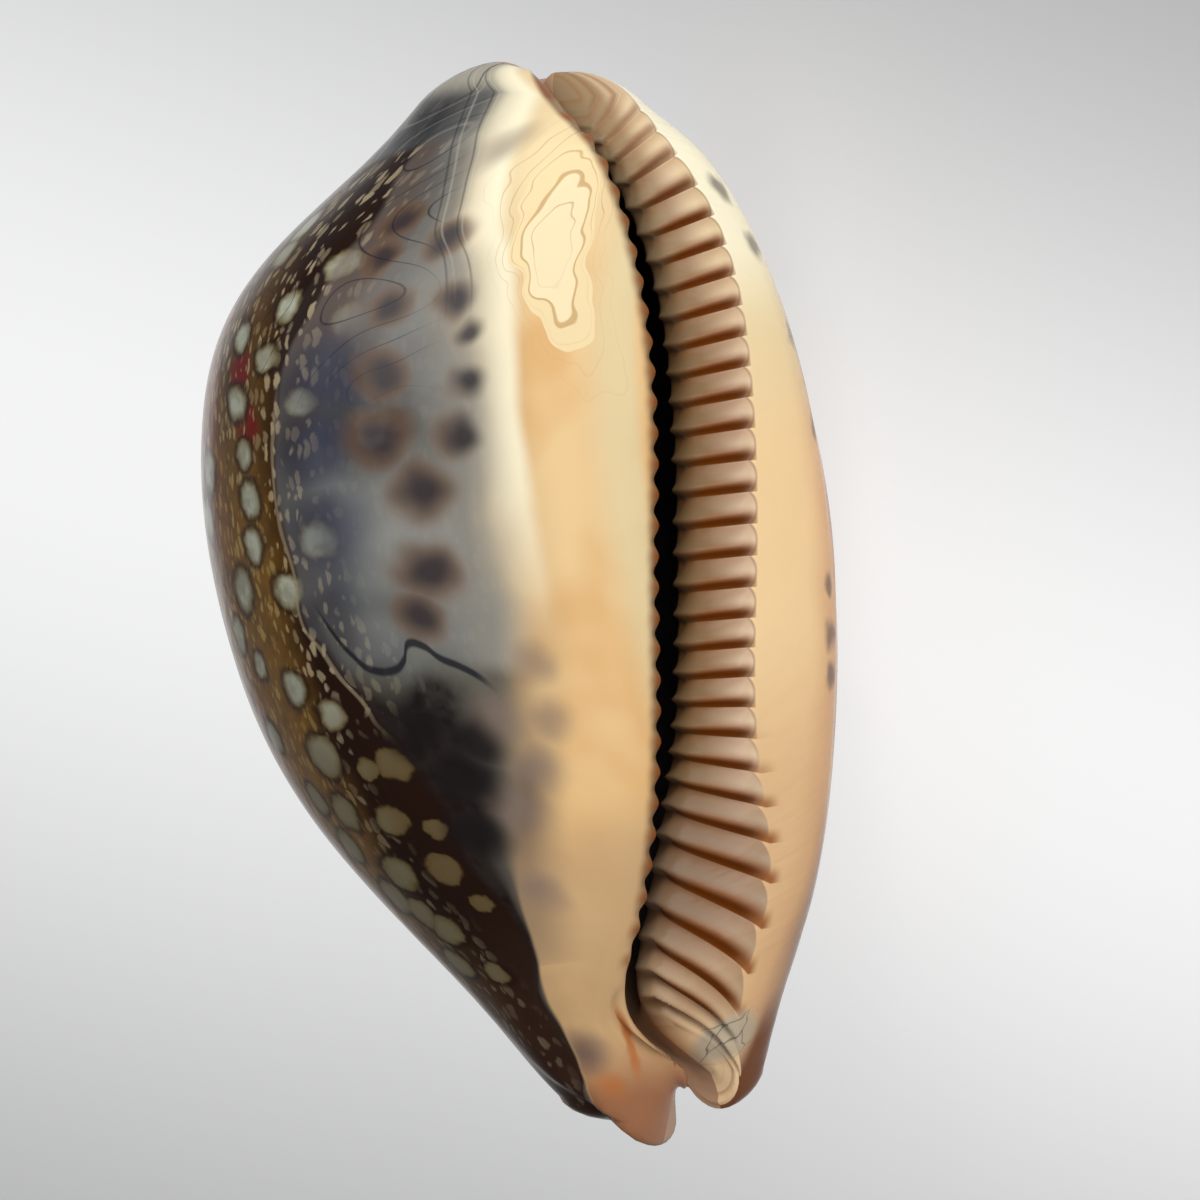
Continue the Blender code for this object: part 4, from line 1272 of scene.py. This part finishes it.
glow = add_node(floor_tree, "Emission", join(glow_level, glow_level, glow_level), 1.0)
ray = add_node(floor_tree, "LightPath")
seen = Signal(ray.outputs["Is Camera Ray"])
for kind in ("Is Glossy Ray", "Is Transmission Ray"):
    seen = seen.math("MAXIMUM", Signal(ray.outputs[kind]))
both = [Signal(node.outputs[0]) for node in (floor_shader, glow)]
blend_shader = add_node(floor_tree, "MixShader", seen * PAPER_GLOW, *both)
feed(floor_tree.nodes["Material Output"].inputs["Surface"], Signal(blend_shader.outputs[0]))
floor_mesh.materials.append(floor_paint)
print("floor, m:", 2 * FLOOR_SIZE)

# %% Soft boxes and the room
ROOM_TINT = (0.9, 0.93, 1.0, 1.0)
ROOM_STRENGTH = 0.3


def soft_box(name, direction, distance, width, height, watts):
    """A soft box that faces the shell from a direction in the room."""
    light = bpy.data.lights.new(name, "AREA")
    light.shape = "RECTANGLE"
    light.size = width
    light.size_y = height
    light.energy = watts
    lamp = bpy.data.objects.new(name, light)
    centre = (Vector(cad_low) + Vector(cad_high)) / 2
    away = Vector(direction).normalized()
    lamp.location = centre + away * distance
    lamp.rotation_mode = "QUATERNION"
    lamp.rotation_quaternion = away.to_track_quat("Z", "Y")
    bpy.context.scene.collection.objects.link(lamp)


soft_box("box in front", (1.0, 0.55, 0.30), 0.6, 0.45, 0.40, 2.35)
soft_box("box above", (0.1, 0.5, 1.0), 0.7, 0.8, 0.8, 1.8)
world = bpy.data.worlds.new("studio")
bpy.context.scene.world = world
world.use_nodes = True
world.node_tree.nodes["Background"].inputs["Color"].default_value = ROOM_TINT
world.node_tree.nodes["Background"].inputs["Strength"].default_value = ROOM_STRENGTH
bpy.context.scene.view_settings.view_transform = "Standard"

# %% [markdown]
# ## Camera
# The shell is looked at along the normal of its base, swung a third of a right
# angle to the columellar side, so that the flank shows.  The directions are
# worked out in the shell's own axes and then laid down with it.

# %% Camera
VIEW_SWING = math.radians(31)
VIEW_ROLL = math.radians(6.18)
VIEW_DISTANCE = 320.0
VIEW_WIDTH = 71.006  # of the room, in mm, at the shell
SENSOR = 36.0
AIM_ACROSS, AIM_UP = 4.45, -0.31
MIDDLE_HEIGHT = 16.24
back_way = np.array([-math.sin(VIEW_SWING), 0, math.cos(VIEW_SWING)])
right_way = np.cross([0, 1, 0], back_way)
up_way = np.array([0, 1.0, 0])
across_way = math.cos(VIEW_ROLL) * right_way - math.sin(VIEW_ROLL) * up_way
upward_way = math.sin(VIEW_ROLL) * right_way + math.cos(VIEW_ROLL) * up_way
middle_point = np.array([0, 0, MIDDLE_HEIGHT])
eye = placed(middle_point + VIEW_DISTANCE * back_way)
aim = placed(middle_point + AIM_ACROSS * across_way + AIM_UP * upward_way)
camera_back = (eye - aim).normalized()
camera_across = turned(upward_way).cross(camera_back).normalized()
camera_up = camera_back.cross(camera_across)
lens = bpy.data.cameras.new("camera")
lens.sensor_width = SENSOR
lens.lens = SENSOR * VIEW_DISTANCE / VIEW_WIDTH
lens.clip_start = 0.01
camera = bpy.data.objects.new("camera", lens)
camera.matrix_world = Matrix.Translation(eye) @ Matrix(
    (camera_across, camera_up, camera_back)).transposed().to_4x4()
bpy.context.scene.collection.objects.link(camera)
bpy.context.scene.camera = camera
print("camera above the floor, degrees:", round(math.degrees(math.asin(camera_back.z)), 1))
